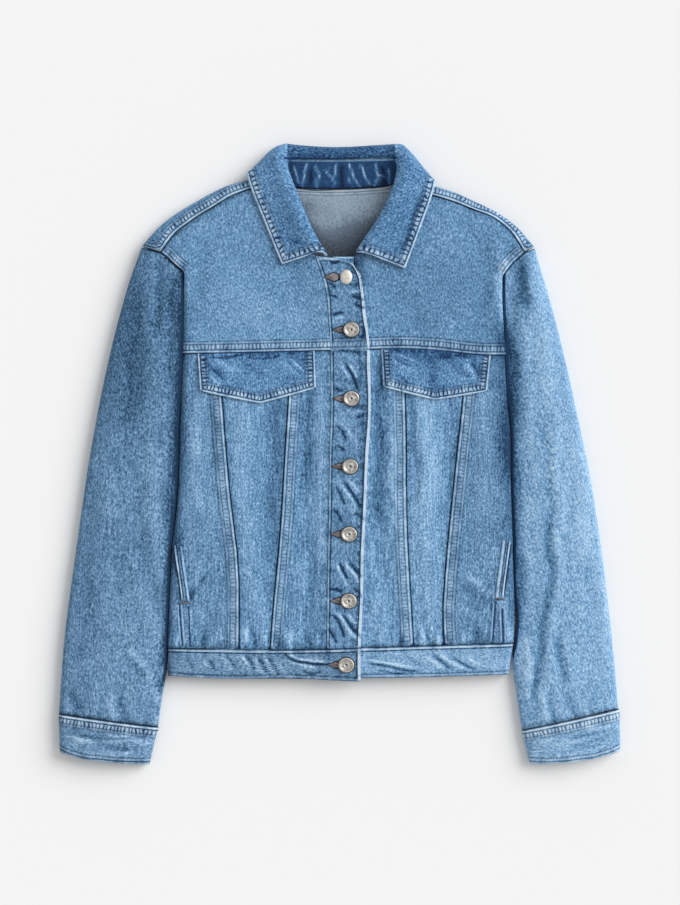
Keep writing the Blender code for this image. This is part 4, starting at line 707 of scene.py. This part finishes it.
def shell(node, levels, faces_up):
    """Copy of a solid's surface, smoothed and subdivided, as an object with attributes for its material."""
    bm = bmesh.new()
    bm.from_mesh(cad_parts[node].data)
    bmesh.ops.remove_doubles(bm, verts=bm.verts, dist=0.00002)
    bmesh.ops.join_triangles(bm, faces=bm.faces, cmp_seam=False, cmp_sharp=False, cmp_uvs=False, cmp_vcols=False,
                             cmp_materials=False, angle_face_threshold=math.radians(30),
                             angle_shape_threshold=math.radians(120))
    groups = walls(bm)
    sign = 1.0 if faces_up else -1.0
    areas = [sum(f.calc_area() for f in group) for group in groups]
    large = [group for group, area in zip(groups, areas) if area > 0.3 * max(areas)]
    outer = max(large, key=lambda g: max(sign * f.calc_center_median().z for f in g))
    for group in groups:
        for face in group:
            face.material_index = 1 if group in large and group is not outer else 0
            face.smooth = True
    base = bpy.data.meshes.new(node + "_base")
    bm.to_mesh(base)
    bm.free()
    rough = placed(node + "_base", base)
    finer = rough.modifiers.new("finer", "SUBSURF")
    finer.levels = finer.render_levels = levels
    graph = bpy.context.evaluated_depsgraph_get()
    mesh = bpy.data.meshes.new_from_object(rough.evaluated_get(graph))
    bpy.data.objects.remove(rough)
    mesh.name = "shell_" + node
    return placed("shell_" + node, mesh)


def read(mesh):
    spots = np.empty(len(mesh.vertices) * 3, np.float32)
    mesh.vertices.foreach_get("co", spots)
    return spots.reshape(-1, 3).astype(float) / MM


def write(mesh, spots):
    mesh.vertices.foreach_set("co", (spots * MM).astype(np.float32).ravel())
    mesh.update()


def attribute(mesh, name, values):
    kind, field = ("FLOAT_VECTOR", "vector") if values.ndim == 2 else ("FLOAT", "value")
    made = mesh.attributes.new(name, kind, "POINT")
    made.data.foreach_set(field, values.astype(np.float32).ravel())


ENDED = ("slant", "armhole")   # seams whose look stops where they do
FAR = 99.0                     # distance to a seam where there is none
AVOIDED = 10.0                 # added to a seam's score where its look doesn't belong
CHEST_BAND = 116.6             # the right placket's chest band is above this, along Y
LEAF_BACK = 8.0                # the leaf's back edge is below this height
YOKE_FRONT = 5.0               # the back yoke's shoulder and armhole seams are above this height
COLLAR_PACE = 0.72             # the collar's roping is this much longer


def edges_of(kind, side, spots, extra=(), height=None):
    """Attributes edge and style at spots, from the bands along the nearest seam."""
    count = len(spots)
    best = np.full(count, 1e9)
    edge = np.zeros((count, 3))
    edge[:, 0] = FAR
    edge[:, 2] = 1.0
    style = np.zeros((count, 3))
    for name, width, ribs, rim, under, inset in tuple(BANDS.get(kind, ())) + tuple(extra):
        if (kind, side, name) == ("hem", "l", "placket_out"):
            continue
        line = line_of(name, side)
        away, place = line.near(spots)
        score = away / (width + 2.0 if width > 1 else 5.0)
        away = np.maximum(away + inset, 0.0)
        if kind == "placket_right" and name == "chest":
            score = score + AVOIDED * (spots[:, 1] < CHEST_BAND)
        if name == "collar_back":
            score = score + AVOIDED * smooth(height - LEAF_BACK)
        if name in ENDED:
            score = score + AVOIDED * ((place < 0.0) | (place > line.run[-1]))
        if kind == "back_yoke" and name.startswith(("shoulder", "armhole")):
            score = score + AVOIDED * (height < YOKE_FRONT)
        if name.startswith("collar"):
            place = place * COLLAR_PACE
        closer = score < best
        best[closer] = score[closer]
        edge[closer] = np.stack((away, place, np.full(count, float(width))), axis=1)[closer]
        style[closer] = (ribs, rim, under)
    return edge, style


LEAN = 1.0                     # marks pieces whose grain leans by their own angles, in radians, right and left
LEANS = {"front_yoke": (-0.26, -0.04), "sleeve_top": (0.02, -0.30), "sleeve_under": (0.02, -0.30)}

# Cloth pieces: node kind, levels of subdivision, outer wall up, level of tone, turn of the grain in degrees, and
# strength of the long streaks
PIECES = (
    ("front_centre", 3, True, 0.0, 0.0, 0.8), ("front_middle", 3, True, 0.03, 0.0, 0.7),
    ("front_side", 3, True, 0.0, 0.0, 0.7), ("front_yoke", 3, True, 0.0, LEAN, 0.3), ("flap", 3, True, -0.05, 0.0, 0.3),
    ("welt", 2, True, 0.08, 0.0, 0.2), ("hem", 4, True, 0.0, 90.0, 0.3), ("sleeve_top", 3, True, 0.0, LEAN, 0.4),
    ("sleeve_under", 2, False, 0.0, LEAN, 0.4), ("cuff", 3, True, 0.0, 90.0, 0.3),
    ("placket_right", 4, True, -0.03, 0.0, 0.5), ("placket_left", 3, True, -0.03, 0.0, 0.5),
    ("back_panel", 2, False, 0.0, 0.0, 0.7), ("back_yoke", 2, False, 0.0, 0.0, 0.3),
    ("hem_back", 2, False, 0.0, 90.0, 0.3),
    ("collar_leaf", 3, True, -0.045, 70.0, 0.3), ("collar_stand", 3, True, -0.07, 90.0, 0.2),
)
# What pieces carry along seams besides BANDS, as there but with whole seam names
EXTRA = {
    "placket_right": (("placket_out", 4.4, 2.0, 2.3, 0, 1.1), ("placket_in", 4, 0.9, 0.45, 0, 1.2),
                      ("chest", 13.5, 0.7, 0.3, 0, 0.6), ("waist", 1, 0, 0, 0.8, 0),
                      ("placket_top", 5, 0.6, 1.4, 0, 1.0)),
    "placket_left": (("placket_out", 1, 0, 0, 1.2, 0), ("under_top", 3, 0, 1.6, 0, 0.8)),
    "back_yoke": (("shoulder_r", 12, 1.3, 1.2, 0, 0.5), ("shoulder_l", 12, 1.3, 1.2, 0, 0.5),
                  ("armhole_r", 11, 0.9, 0.9, 0, 0), ("armhole_l", 11, 0.9, 0.9, 0, 0),
                  ("back_yoke", 12, 0.7, 0.9, 0, 0), ("stand_low", 7, 0.5, 0.9, 0, 0)),
    "back_panel": (("back_yoke", 1, 0, 0, 0.9, 0), ("back_hem", 1, 0, 0, 0.1, 0),
                   ("side_seam_r", 11, 0.5, 0.7, 0, 0), ("side_seam_l", 11, 0.5, 0.7, 0, 0)),
    "hem_back": (("back_hem", 5, 0.6, 0.8, 0, 0.9), ("waist", 5, 0.5, 1.0, 0, 0)),
    "collar_leaf": (("collar_r", 12.5, 1.4, 1.6, 0, 1.2), ("collar_l", 12.5, 1.4, 1.6, 0, 1.2),
                    ("collar_back", 11.5, 1.0, 1.0, 0, 1.2), ("stand_top", 1, 0, 0, 1.3, 0)),
    "collar_stand": (("stand_top", 3, 0, 1.8, 0, 0.6), ("stand_low", 1, 0, 0, 1.3, 0)),
}
# How much paler single pieces are: some have faded, and the sleeve, cuff and hem on the wearer's left are painted
# paler and those on the right darker, as painted light and shade from the lamp's side
FADES_AND_LIGHT = {"sleeve_top_right": -0.05, "sleeve_top_left": 0.14, "hem_right": -0.10, "hem_left": 0.08,
         "cuff_right": -0.07, "cuff_left": 0.12, "front_yoke_left": -0.02, "front_middle_right": -0.02,
         "front_middle_left": 0.03, "front_centre_left": 0.05, "front_side_right": -0.02, "front_side_left": -0.04}
# How much greyer single pieces have worn
GREYS = {"sleeve_top_right": 0.35, "cuff_right": 0.5, "hem_right": 0.5, "hem_left": 0.15, "front_side_right": 0.15,
         "front_side_left": 0.12, "placket_right": 0.15, "cuff_left": 0.1}
# Painted shade on the neck's inside, darkest toward the front's neckline that overhangs it, with paler lines below
# the neck seam; and tones of the collar stand, as in TONES
INSIDE_SHADE_AND_TONES = on_plan((
    (300, 252, 372, 252, 27, -0.42), (352, 230, 372, 226, 11, -0.10), (300, 205, 318, 246, 7, -0.16),
    (392, 205, 374, 240, 8, -0.14), (336, 203, 350, 208, 14, 0.07), (292, 194, 398, 194, 5, 0.04),
    (310, 216, 340, 224, 8, 0.08), (300, 202, 312, 206, 5, -0.10),
))
STAND_TONES = on_plan((
    (294, 166, 296, 174, 1.1, 0.30), (296, 174, 299, 182, 1.1, 0.26), (306.5, 163, 302, 187, 1.2, 0.34),
    (315, 165, 319, 174, 1.2, 0.30), (319, 174, 315.5, 187, 1.3, 0.34), (325, 170, 334, 180, 1.1, 0.30),
    (334, 180, 333, 187, 1.2, 0.30), (336.6, 163, 334, 177, 1.1, 0.28), (349, 163, 352, 173, 1.2, 0.36),
    (352, 173, 360, 187, 1.2, 0.30), (347, 173, 352, 187, 1.0, 0.26), (360.5, 164, 369, 184, 1.2, 0.34),
    (376, 163, 377, 173, 1.2, 0.30), (377, 173, 385.5, 177, 1.1, 0.22), (378.7, 174, 374.5, 187, 1.2, 0.28),
    (388.6, 168, 390, 185, 1.2, 0.22), (311, 168, 310, 184, 2.2, -0.14), (341, 166, 343, 186, 2.4, -0.14),
    (383, 166, 384, 186, 2.6, -0.14), (329, 164, 328, 170, 2.0, 0.10),
))

# Edges that reach a little further under the piece that laps them: seam, pieces, millimetres inward and upward
TUCKS = (("placket_in", ("front_centre", "front_yoke"), 1.1, 0.0),
         ("chest", ("front_side", "front_middle", "front_centre"), 0.0, 0.9), ("waist", ("hem",), 0.0, 0.8))

# How far edges are moved in millimetres, to lap what lies under them or to close gaps
FREE_EDGE_OUT = 1.4
YOKE_TUCK = 1.3
SIDE_OUT = 0.6
SLEEVE_IN = 2.7
APART = 40.0                   # between the pieces' places in the cloth pattern
FOLD_LEVEL = 14.0              # the grain runs on round side folds below this height
NECK_LOW = 206.0               # the free front edge ends here, along Y

# Height of crumples, how pale their ridges are and how dark their troughs, and the same for worn creases, on kinds of
# piece: the pale ridges are wear, the dark troughs partly painted shade
CRUMPLE_TALL = {"hem": 0.45, "placket_right": 0.45, "other": 0.3}
CRUMPLE_WEAR_AND_SHADE = {"hem": 0.38, "placket_right": 0.38, "flap": 0.38, "other": 0.24}
CREASE_WEAR_AND_SHADE = {"hem": 0.15, "cuff": 0.22, "placket_right": 0.17, "other": 0.19}
DEEPEST = -3.5                 # of the soft creases
LEAF_TOP = 328.0               # the leaf's darker strip between the fold lines starts here, along Y
LEAF_FOLDS = (-60.6, 64.2)     # pale lines at the strip's ends, along X
STRIP_DARK = 0.27
FOLD_PALE = 0.16
BARS_DARK = 0.22               # shadows of the puckers beside the stitching of placket and flaps
STAND_MARKED = 2.1             # how strongly the stand's marks show


def of_kind(table, kind):
    return table.get(kind, table["other"])


def over(spots, start, reach):
    """0 up to a height start in millimetres, and 1 from reach above it."""
    return smooth((spots[:, 2] - start) / reach)


def by_seam(name, plan, start, reach, side=""):
    """1 near a seam, fading to 0 at start from it over reach."""
    return smooth((start - line_of(name, side).near(plan)[0]) / reach)


shells = {}
for kind, levels, faces_up, tone, turn, streak in PIECES:
    sides = ("right", "left") if kind + "_right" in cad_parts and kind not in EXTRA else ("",)
    for wearer in sides:
        node = kind + ("_" + wearer if wearer else "")
        side = wearer[:1]
        piece = shell(node, levels, faces_up)
        spots = read(piece.data)
        plan = spots[:, :2]    # follows the spots as they move
        rise, worn = relief(plan)
        sharp = crumple(plan) * over(spots, 4.0, 3.0) * (kind not in ("collar_leaf", "welt"))
        if kind == "collar_leaf":
            rise = 0.25 * np.sin(plan[:, 1] / 9.0 + plan[:, 0] / 14.0) * over(spots, 15.0, 3.0)
            high = over(spots, 15.0, 2.0) * 0.6
            worn = worn * 0.0
        else:
            rise = np.maximum(rise, DEEPEST)
            high = over(spots, 7.0, 6.5)
        spots[:, 2] += rise * high + of_kind(CRUMPLE_TALL, kind) * sharp
        outward = np.sign(plan[:, 0])
        for seam, kinds, dx, dy in TUCKS:
            if kind in kinds:
                tuck = by_seam(seam, plan, 2.6, 2.0, side) * (spots[:, 2] > 5.0)
                spots[:, 0] += dx * tuck * (1.0 if side == "r" else -1.0)
                spots[:, 1] += dy * tuck
        if node in ("placket_right", "hem_right"):
            spots[:, 0] += FREE_EDGE_OUT * by_seam("placket_out", plan, 7.0, 5.0) * (plan[:, 1] < NECK_LOW)
        if kind == "back_yoke":
            spots[:, 1] += YOKE_TUCK * by_seam("stand_low", plan, 4.0, 4.0) * (spots[:, 2] < 8.0)
        if kind == "front_side":
            spots[:, 0] += outward * SIDE_OUT * by_seam("fold_" + side, plan, 6.0, 4.0) * (spots[:, 2] > 3.0)
        if kind == "sleeve_top":
            away, _ = LINES["fold_" + side].near(plan)
            spots[:, 0] -= outward * np.clip(away - 0.3, 0.0, SLEEVE_IN) * smooth((9.0 - away) / 5.0)
        write(piece.data, spots)
        normals = np.empty(len(spots) * 3, np.float32)
        piece.data.vertices.foreach_get("normal", normals)
        upward = smooth(normals[2::3] * 4.0 + 0.5)
        edge, style = edges_of(kind, side, plan, EXTRA.get(kind, ()), spots[:, 2])
        crisp = of_kind(CREASE_WEAR_AND_SHADE, kind)
        # painted light and shade: soft drapes paler on their ridges and darker in their troughs; fine creases, puckers
        # and crumples have pale worn ridges and dark troughs that are partly painted shade
        shade = tone + FADES_AND_LIGHT.get(node, 0.0) + (0.10 * np.tanh(rise * 0.9) + crisp * np.tanh(worn * 1.3)) * high
        shade = shade + of_kind(CRUMPLE_WEAR_AND_SHADE, kind) * sharp + strokes(TONES, plan) * over(spots, 5.0, 4.0)
        # painted shadow of the front over the neck's inside
        if kind in ("back_yoke", "back_panel"):
            shade += strokes(INSIDE_SHADE_AND_TONES, plan) * (1.0 - over(spots, 5.0, 3.0)) * upward
        if kind == "collar_leaf":
            top = smooth((plan[:, 1] - LEAF_TOP) / 2.0) * upward
            strip = smooth((plan[:, 0] - LEAF_FOLDS[0] - 1.1) / 1.6) * smooth((LEAF_FOLDS[1] - 1.2 - plan[:, 0]) / 1.6)
            shade -= STRIP_DARK * strip * top
            shade += FOLD_PALE * sum(np.exp(-((plan[:, 0] - fold) / 1.1) ** 2) for fold in LEAF_FOLDS) * top
        if kind == "collar_stand":
            shade += STAND_MARKED * strokes(STAND_TONES, plan)
        if kind in ("placket_right", "flap"):
            away, place = LINES["placket_out" if kind == "placket_right" else "flap_" + side].near(plan)
            bars = smooth(wobble(place * 1.05, 2.0 + len(shells)) * 1.6)
            shade -= BARS_DARK * bars * smooth((away - 2.6) / 1.5) * smooth((12.5 - away) / 7.0)
        angle = math.radians(turn)
        if kind == "collar_leaf":
            angle = angle * outward
        elif turn == LEAN:
            angle = np.where(plan[:, 0] > 0, LEANS[kind][1], LEANS[kind][0])
        facing = np.clip(plan[:, 0] / 60.0, -1.0, 1.0) if "back" in kind else outward
        wrap = facing * (FOLD_LEVEL - spots[:, 2])
        x, y = plan[:, 0] + wrap, plan[:, 1]
        grain = np.stack((x * np.cos(angle) - y * np.sin(angle), x * np.sin(angle) + y * np.cos(angle),
                          spots[:, 2] - rise * high + APART * len(shells)), axis=1)
        attribute(piece.data, "grain", grain)
        attribute(piece.data, "edge", edge)
        attribute(piece.data, "style", style)
        attribute(piece.data, "tone", shade)
        attribute(piece.data, "grey", np.full(len(spots), GREYS.get(node, 0.0)))
        attribute(piece.data, "streak", np.full(len(spots), streak) * (1.0 - 0.6 * smooth((plan[:, 1] - 60) / 50)))
        dark = kind == "collar_stand"
        piece.data.materials.append(DENIM_DARK if dark else DENIM_BLUE if kind in ("flap", "collar_leaf") else DENIM)
        piece.data.materials.append(DENIM_DARK if dark else DENIM_INSIDE)
        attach(piece, "root")
        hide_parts(node)
        shells[node] = piece


# ---- thread -------------------------------------------------------------------------------------------------------

def surface(objects):
    """Search tree over the final shells, in millimetres."""
    verts, faces = [], []
    for piece in objects:
        base = len(verts)
        verts.extend(map(tuple, read(piece.data)))
        corners = np.empty(len(piece.data.loops), np.int32)
        piece.data.loops.foreach_get("vertex_index", corners)
        starts = np.empty(len(piece.data.polygons), np.int32)
        totals = np.empty(len(piece.data.polygons), np.int32)
        piece.data.polygons.foreach_get("loop_start", starts)
        piece.data.polygons.foreach_get("loop_total", totals)
        corners += base
        faces.extend(corners[a:a + n].tolist() for a, n in zip(starts, totals))
    return BVHTree.FromPolygons(verts, faces)


TREE = surface(shells.values())


def ground(x, y, below=False):
    """Highest (or lowest) cloth at a point: place and normal, or None."""
    start = Vector((x, y, -60.0 if below else 90.0))
    spot, normal, _, _ = TREE.ray_cast(start, Vector((0, 0, 1.0 if below else -1.0)))
    if spot is None:
        return None
    if (normal.z < 0) != below:
        normal = -normal
    return spot, normal


def joined(name, verts, faces, material):
    """Smooth piece on the jacket's body from vertices in millimetres."""
    mesh = bpy.data.meshes.new(name)
    mesh.from_pydata([tuple(spot * MM) for spot in verts], [], faces)
    mesh.materials.append(material)
    for face in mesh.polygons:
        face.use_smooth = True
    made = placed(name, mesh)
    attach(made, "root")
    return made


AHEAD = 1.5                    # how far along the seam a stitch takes its direction
PROUD, SUNK = 0.34, 0.3        # how far a stitch stands out of the cloth and reaches into it
LOZENGE = ((0, 2, 4), (2, 1, 4), (1, 3, 4), (3, 0, 4), (2, 0, 5), (1, 2, 5), (3, 1, 5), (0, 3, 5))


def stitches(name, runs, below=False, long=2.3, wide=0.6, pitch=3.3, material=SLATE_THREAD):
    """Rows of stitches along seams, runs of (seam, start, stop, offset of each row) in millimetres."""
    verts, faces = [], []
    for seam, start, stop, offset in ((*run[:3], offset) for run in runs for offset in run[3:]):
        points = LINES[seam].beside(offset)
        run = lengths(points)
        for at in np.arange(start, run[-1] - stop, pitch):
            x, y = between(run, points, at)
            x1, y1 = between(run, points, at + AHEAD)
            hit = ground(x, y, below)
            if hit is None or math.hypot(x1 - x, y1 - y) < 1e-6:
                continue
            spot, normal = hit
            way = Vector((x1 - x, y1 - y, 0.0))
            way = (way - normal * way.dot(normal)).normalized()
            side = normal.cross(way)
            spot = spot + normal * (0.06 if not below else -0.12)
            base = len(verts)
            for point in (way * -long / 2, way * long / 2, side * -wide / 2, side * wide / 2, normal * PROUD,
                          normal * -SUNK):
                verts.append(spot + point)
            faces.extend(tuple(base + k for k in face) for face in LOZENGE)
    return joined(name, verts, faces, material)


stitches("stitching_front", [
    ("side_r", 2, 45, 3.7, 10.1), ("centre_r", 2, 42, -3.7, -10.1), ("side_l", 2, 46, -3.7, -10.1),
    ("centre_l", 2, 41, 3.7, 10.1), ("placket_top", 2, 2, -3.6), ("neck_l", 1, 2, -3.0), ("chest", 6, 6, 3.7, 10.1),
    ("welt_r", 2, 2, -3.2), ("welt_r", 3, 2, -5.8), ("welt_l", 2, 2, 3.2), ("welt_l", 3, 2, 5.8),
    ("pocket_r", 3, 1, 4.6, 8.0), ("pocket_l", 3, 1, -3.6, -6.4),
])
stitches("stitching_edges", [
    ("placket_in", 2, 6, -2.6), ("placket_out", 2, 10, 4.2), ("waist", 4, 4, -3.5), ("hem_r", 3, 3, 3.7),
    ("hem_l", 3, 3, 3.7),
], material=NAVY_THREAD)
stitches("stitching_flaps", [
    ("flap_r", 3, 3, 3.6), ("flap_r", 8, 8, 8.4), ("flap_l", 3, 3, 3.6), ("flap_l", 8, 8, 8.4),
])
stitches("stitching_shoulders", [
    ("shoulder_r", 3, 4, 3.4, 8.8), ("shoulder_l", 3, 4, -3.4, -8.8), ("armhole_r", 4, 3, 3.0),
    ("armhole_r", 4, 5, 8.4), ("armhole_l", 4, 3, -3.0), ("armhole_l", 4, 5, -8.4),
])
stitches("stitching_cuffs", [
    ("cuff_top_r", 5, 4, -3.6, -9.2), ("cuff_low_r", 5, 4, 5.6), ("cuff_top_l", 4, 5, -3.6, -9.2),
    ("cuff_low_l", 4, 5, 5.6),
])
stitches("stitching_collar", [
    ("collar_r", 8, 6, -3.2), ("collar_r", 12, 6, -8.0), ("collar_l", 8, 6, 3.2), ("collar_l", 12, 6, 8.0),
])
stitches("stitching_back", [
    ("back_yoke", 6, 6, 3.6, 9.0), ("back_hem", 4, 4, 3.6), ("waist", 8, 8, -3.4), ("back_arm_r", 2, 2, -2.0),
    ("back_arm_l", 2, 2, 2.0), ("side_seam_r", 2, 2, -2.0, -8.0), ("side_seam_l", 2, 2, 2.0, 8.0),
], below=True)


def ridges(name, runs, material):
    """Narrow raised strips along seams, runs of (seam, offset, half width, height, from, to)."""
    verts, faces = [], []
    for seam, offset, half, tall, start, stop in runs:
        line = LINES[seam]
        run, way = line.run, line.way
        points = line.beside(offset)
        across = np.stack((-way[:, 1], way[:, 0]), axis=1)
        stops = np.arange(start, run[-1] - stop, 2.0)
        base = len(verts)
        for at in stops:
            x, y = between(run, points, at)
            ax, ay = between(run, across, at)
            uneven = 1.0 + 0.25 * wobble(at * 1.3, start + offset)
            for side, lift in ((-1.0, -0.2), (-0.45, tall), (0.45, tall), (1.0, -0.2)):
                reach = side * half * uneven
                spot = ground(x + ax * reach, y + ay * reach)[0]
                verts.append(spot + Vector((0.0, 0.0, lift)))
        for k in range(len(stops) - 1):
            for j in range(3):
                a = base + 4 * k + j
                faces.append((a, a + 1, a + 5, a + 4))
        faces.extend((tuple(base + j for j in (3, 2, 1, 0)), tuple(base + 4 * (len(stops) - 1) + j for j in range(4))))
    return joined(name, verts, faces, material)


ridges("pocket_folds", [
    ("pocket_r", -2.0, 1.0, 0.35, 2, 1), ("pocket_r", 2.1, 1.0, 0.35, 2, 1), ("pocket_l", 3.0, 0.8, 0.3, 3, 1),
    ("pocket_l", -1.9, 1.1, 0.35, 2, 1), ("pocket_in_l", -2.1, 0.9, 0.3, 4, 1),
], RUBBED_DENIM)
# painted shadow: dark raised strips along the pocket openings, where the gap between layers lies in shade
ridges("pocket_gap_shadows", [
    ("pocket_r", 0.0, 1.25, 0.15, 1, 0), ("pocket_in_r", 0.0, 1.3, 0.15, 1, 0), ("pocket_l", 0.6, 1.5, 0.15, 6, 0),
    ("pocket_in_l", 0.0, 1.4, 0.15, 1, 0),
], POCKET_GAP_SHADE)

for name, x, y, reach in (("bartack_right", -175.0, -168.0, 6.0), ("bartack_left", 181.1, -163.8, 5.0)):
    verts, faces = [], []
    for k in range(13):
        hit = ground(x - reach + reach / 6.0 * k, y + 0.5 * math.sin(k * 0.9))
        spot = hit[0] + hit[1] * 0.3
        base = len(verts)
        for dx, dy, dz in ((-0.5, -1.1, 0), (0.5, -1.1, 0), (0.5, 1.1, 0), (-0.5, 1.1, 0), (0, -0.8, 0.45),
                           (0, 0.8, 0.45)):
            verts.append(spot + Vector((dx, dy, dz)))
        faces.extend(tuple(base + j for j in face) for face in
                     ((0, 1, 4), (1, 2, 5, 4), (2, 3, 5), (3, 0, 4, 5), (3, 2, 1, 0)))
    joined(name, verts, faces, TACK_THREAD)


# ---- buttons and buttonholes --------------------------------------------------------------------------------------

PROFILE = ((0.0, 2.35), (0.9, 2.35), (1.35, 2.6), (1.6, 3.2), (2.3, 3.45), (2.9, 3.2), (3.4, 3.05), (6.1, 3.3),
           (6.6, 3.75), (7.3, 4.0), (8.0, 3.6), (8.45, 2.5), (8.3, 1.1), (7.4, 0.1), (0.0, 0.1))
PLAIN = ((0.0, 3.9), (2.0, 3.85), (4.0, 3.7), (5.8, 3.4), (7.2, 2.9), (8.1, 2.2), (8.4, 1.4), (8.1, 0.6), (7.2, 0.1),
         (0.0, 0.1))
ROUND = 40                     # points round a button
DOT = 10                       # points round a dot
OVAL = 1.07                    # width of a cupped button over its height


def circle(count):
    """Cosine and sine of evenly set angles."""
    return [(math.cos(a), math.sin(a)) for a in (2.0 * math.pi * k / count for k in range(count))]


def turned(name, profile, centre, tilt, material, wide):
    """Solid of revolution about an upright axis, tilted a little and stretched across."""
    verts, faces = [], []
    for r, z in profile:
        for c, s in circle(ROUND):
            lift = tilt[0] * r * c + tilt[1] * r * s
            verts.append(Vector((r * c * wide, r * s, z + lift)) + centre)
    for i in range(len(profile) - 1):
        for k in range(ROUND):
            a, b = i * ROUND + k, i * ROUND + (k + 1) % ROUND
            faces.append((a + ROUND, b + ROUND, b, a))
    made = joined(name, verts, faces, material)
    bm = bmesh.new()
    bm.from_mesh(made.data)
    bmesh.ops.remove_doubles(bm, verts=bm.verts, dist=1e-6)
    bmesh.ops.recalc_face_normals(bm, faces=bm.faces)
    bm.to_mesh(made.data)
    bm.free()
    return made


buttons = []
for number in range(1, 8):
    low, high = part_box(f"button_{number}")
    centre = (low + high) / 2 / MM
    lift = float(relief(np.array([[centre.x, centre.y]]))[0][0]) * 0.6
    centre.z = low.z / MM + max(lift, 0.0)
    plain = number == 1
    piece = turned(f"jeans_button_{number}", PLAIN if plain else PROFILE, centre, (0.05, -0.04) if plain else
                   (0.01 * math.sin(number), 0.01), IVORY if plain else STEEL,
                   0.84 if plain else OVAL)
    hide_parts(f"button_{number}")
    buttons.append(centre)
    if not plain:
        # generic ring of small dots, the dark cup of the rivet, a dark line round its face, and a dark ring on the
        # cloth
        #         # round the button's foot as painted shadow
        verts, faces = [], []
        marks = [(0.0, 0.0, 1.05, 2.42)] + [
            (4.75 * math.cos(a), 4.75 * math.sin(a), 0.62, 3.24)
            for a in [math.radians(45.0 + 90.0 * k + 9.0 * number) for k in range(4)]]
        for dx, dy, r, z in marks:
            base = len(verts)
            verts.append(centre + Vector((dx, dy, z + 0.10)))
            verts.extend(centre + Vector((dx + r * c, dy + r * s, z)) for c, s in circle(DOT))
            faces.extend((base, base + 1 + k, base + 1 + (k + 1) % DOT) for k in range(DOT))
        # painted shadow: the first ring lies on the cloth round the button's foot
        for inner, outer, z in ((8.2, 9.3, 0.35), (6.25, 6.75, 3.62)):
            base = len(verts)
            verts.extend(centre + Vector((OVAL * r * c, r * s, z)) for c, s in circle(ROUND) for r in (inner, outer))
            faces.extend((base + 2 * k, base + 2 * k + 1, base + (2 * k + 3) % (2 * ROUND),
                          base + (2 * k + 2) % (2 * ROUND)) for k in range(ROUND))
        joined(f"button_dots_and_shadow_ring_{number}", verts, faces, DARK_STEEL_AND_SHADOW)


def buttonhole(number, centre):
    """Keyhole buttonhole: close stitches filling a drop that points away from the button, in a dark rim."""
    around, rings = 48, 6
    first = number == 1
    length, half = (24.0, 4.7) if first else (20.5, 3.4)
    drop = []
    for c, s in circle(around):
        reach = 0.5 + 0.5 * c                                    # 1 at the round end, 0 at the point
        drop.append((-length + 16.0 * reach, half * s * (0.42 + 0.58 * smooth(reach * 1.5))))
    middle = 8.0 - length                                        # of the drop, from the button's centre
    verts, faces = [], []
    for j in range(rings + 1):
        share = j / rings
        for k, (dx, dy) in enumerate(drop):
            x, y = centre.x + middle + (dx - middle) * share, centre.y + dy * share
            stitch = 0.16 if k % 2 else 0.0
            verts.append(Vector((x, y, ground(x, y)[0].z + 0.75 * (1.0 - share ** 3) + stitch + 0.05)))
    for j in range(rings):
        for k in range(around):
            a, b = j * around + k, j * around + (k + 1) % around
            faces.append((a, a + around, b + around, b))
    joined(f"buttonhole_{number}", verts, faces, TAN_THREAD)
    verts, faces = [], []
    for dx, dy in drop:
        for grown in (0.9, 1.0 + 1.3 / half):
            x = centre.x + middle + (dx - middle) * (1.0 + (grown - 1.0) * half / 8.0)
            y = centre.y + dy * grown
            verts.append(Vector((x, y, ground(x, y)[0].z + 0.18)))
    for k in range(around):
        a, b = 2 * k, 2 * ((k + 1) % around)
        faces.append((a, a + 1, b + 1, b))
    joined(f"buttonhole_rim_{number}", verts, faces, SLIT)


for number, centre in enumerate(buttons, 1):
    buttonhole(number, centre)


# ---- floor, light, camera -----------------------------------------------------------------------------------------

FLOOR_HALF = 4.0               # metres
FLOOR_Z = -0.0008              # just under the cloth, so that no two faces share a plane
SUN_FROM = (1.4, 0.75, 1.0)

mesh = bpy.data.meshes.new("floor")
mesh.from_pydata([(x * FLOOR_HALF, y * FLOOR_HALF, FLOOR_Z) for x, y in ((-1, -1), (1, -1), (1, 1), (-1, 1))], [],
                 [(0, 1, 2, 3)])
floor = placed("floor", mesh)
paper = Graph("paper")
paper.surface(Base_Color=(0.925, 0.925, 0.925, 1.0), Roughness=0.9, Specular_IOR_Level=0.1)
mesh.materials.append(paper.material)

world = bpy.data.worlds.new("studio")
world.use_nodes = True
sky = world.node_tree.nodes["Background"].inputs
sky["Color"].default_value = (1.0, 1.0, 1.0, 1.0)
sky["Strength"].default_value = 0.55
bpy.context.scene.world = world

sun = bpy.data.lights.new("key", "SUN")
sun.energy = 2.55
sun.angle = 0.75
placed("key", sun).rotation_euler = (-Vector(SUN_FROM)).to_track_quat("-Z", "Y").to_euler()

CLOTH_TOP = 0.014              # metres, of the front panels
AIM = (0.0004, 0.0019)         # the picture's middle, metres
DISTANCE = 2.5                 # from the camera to the top of the cloth
COVERS = 905 * UNIT * MM       # height of the picture there
SENSOR = 36.0
camera = bpy.data.cameras.new("camera")
camera.sensor_width = SENSOR
camera.lens = SENSOR * DISTANCE / COVERS
camera.clip_start, camera.clip_end = 0.1, 20.0
eye = placed("camera", camera)
eye.location = (*AIM, DISTANCE + CLOTH_TOP)
bpy.context.scene.camera = eye

scene = bpy.context.scene
scene.view_settings.view_transform = "Standard"
scene.view_settings.look = "None"
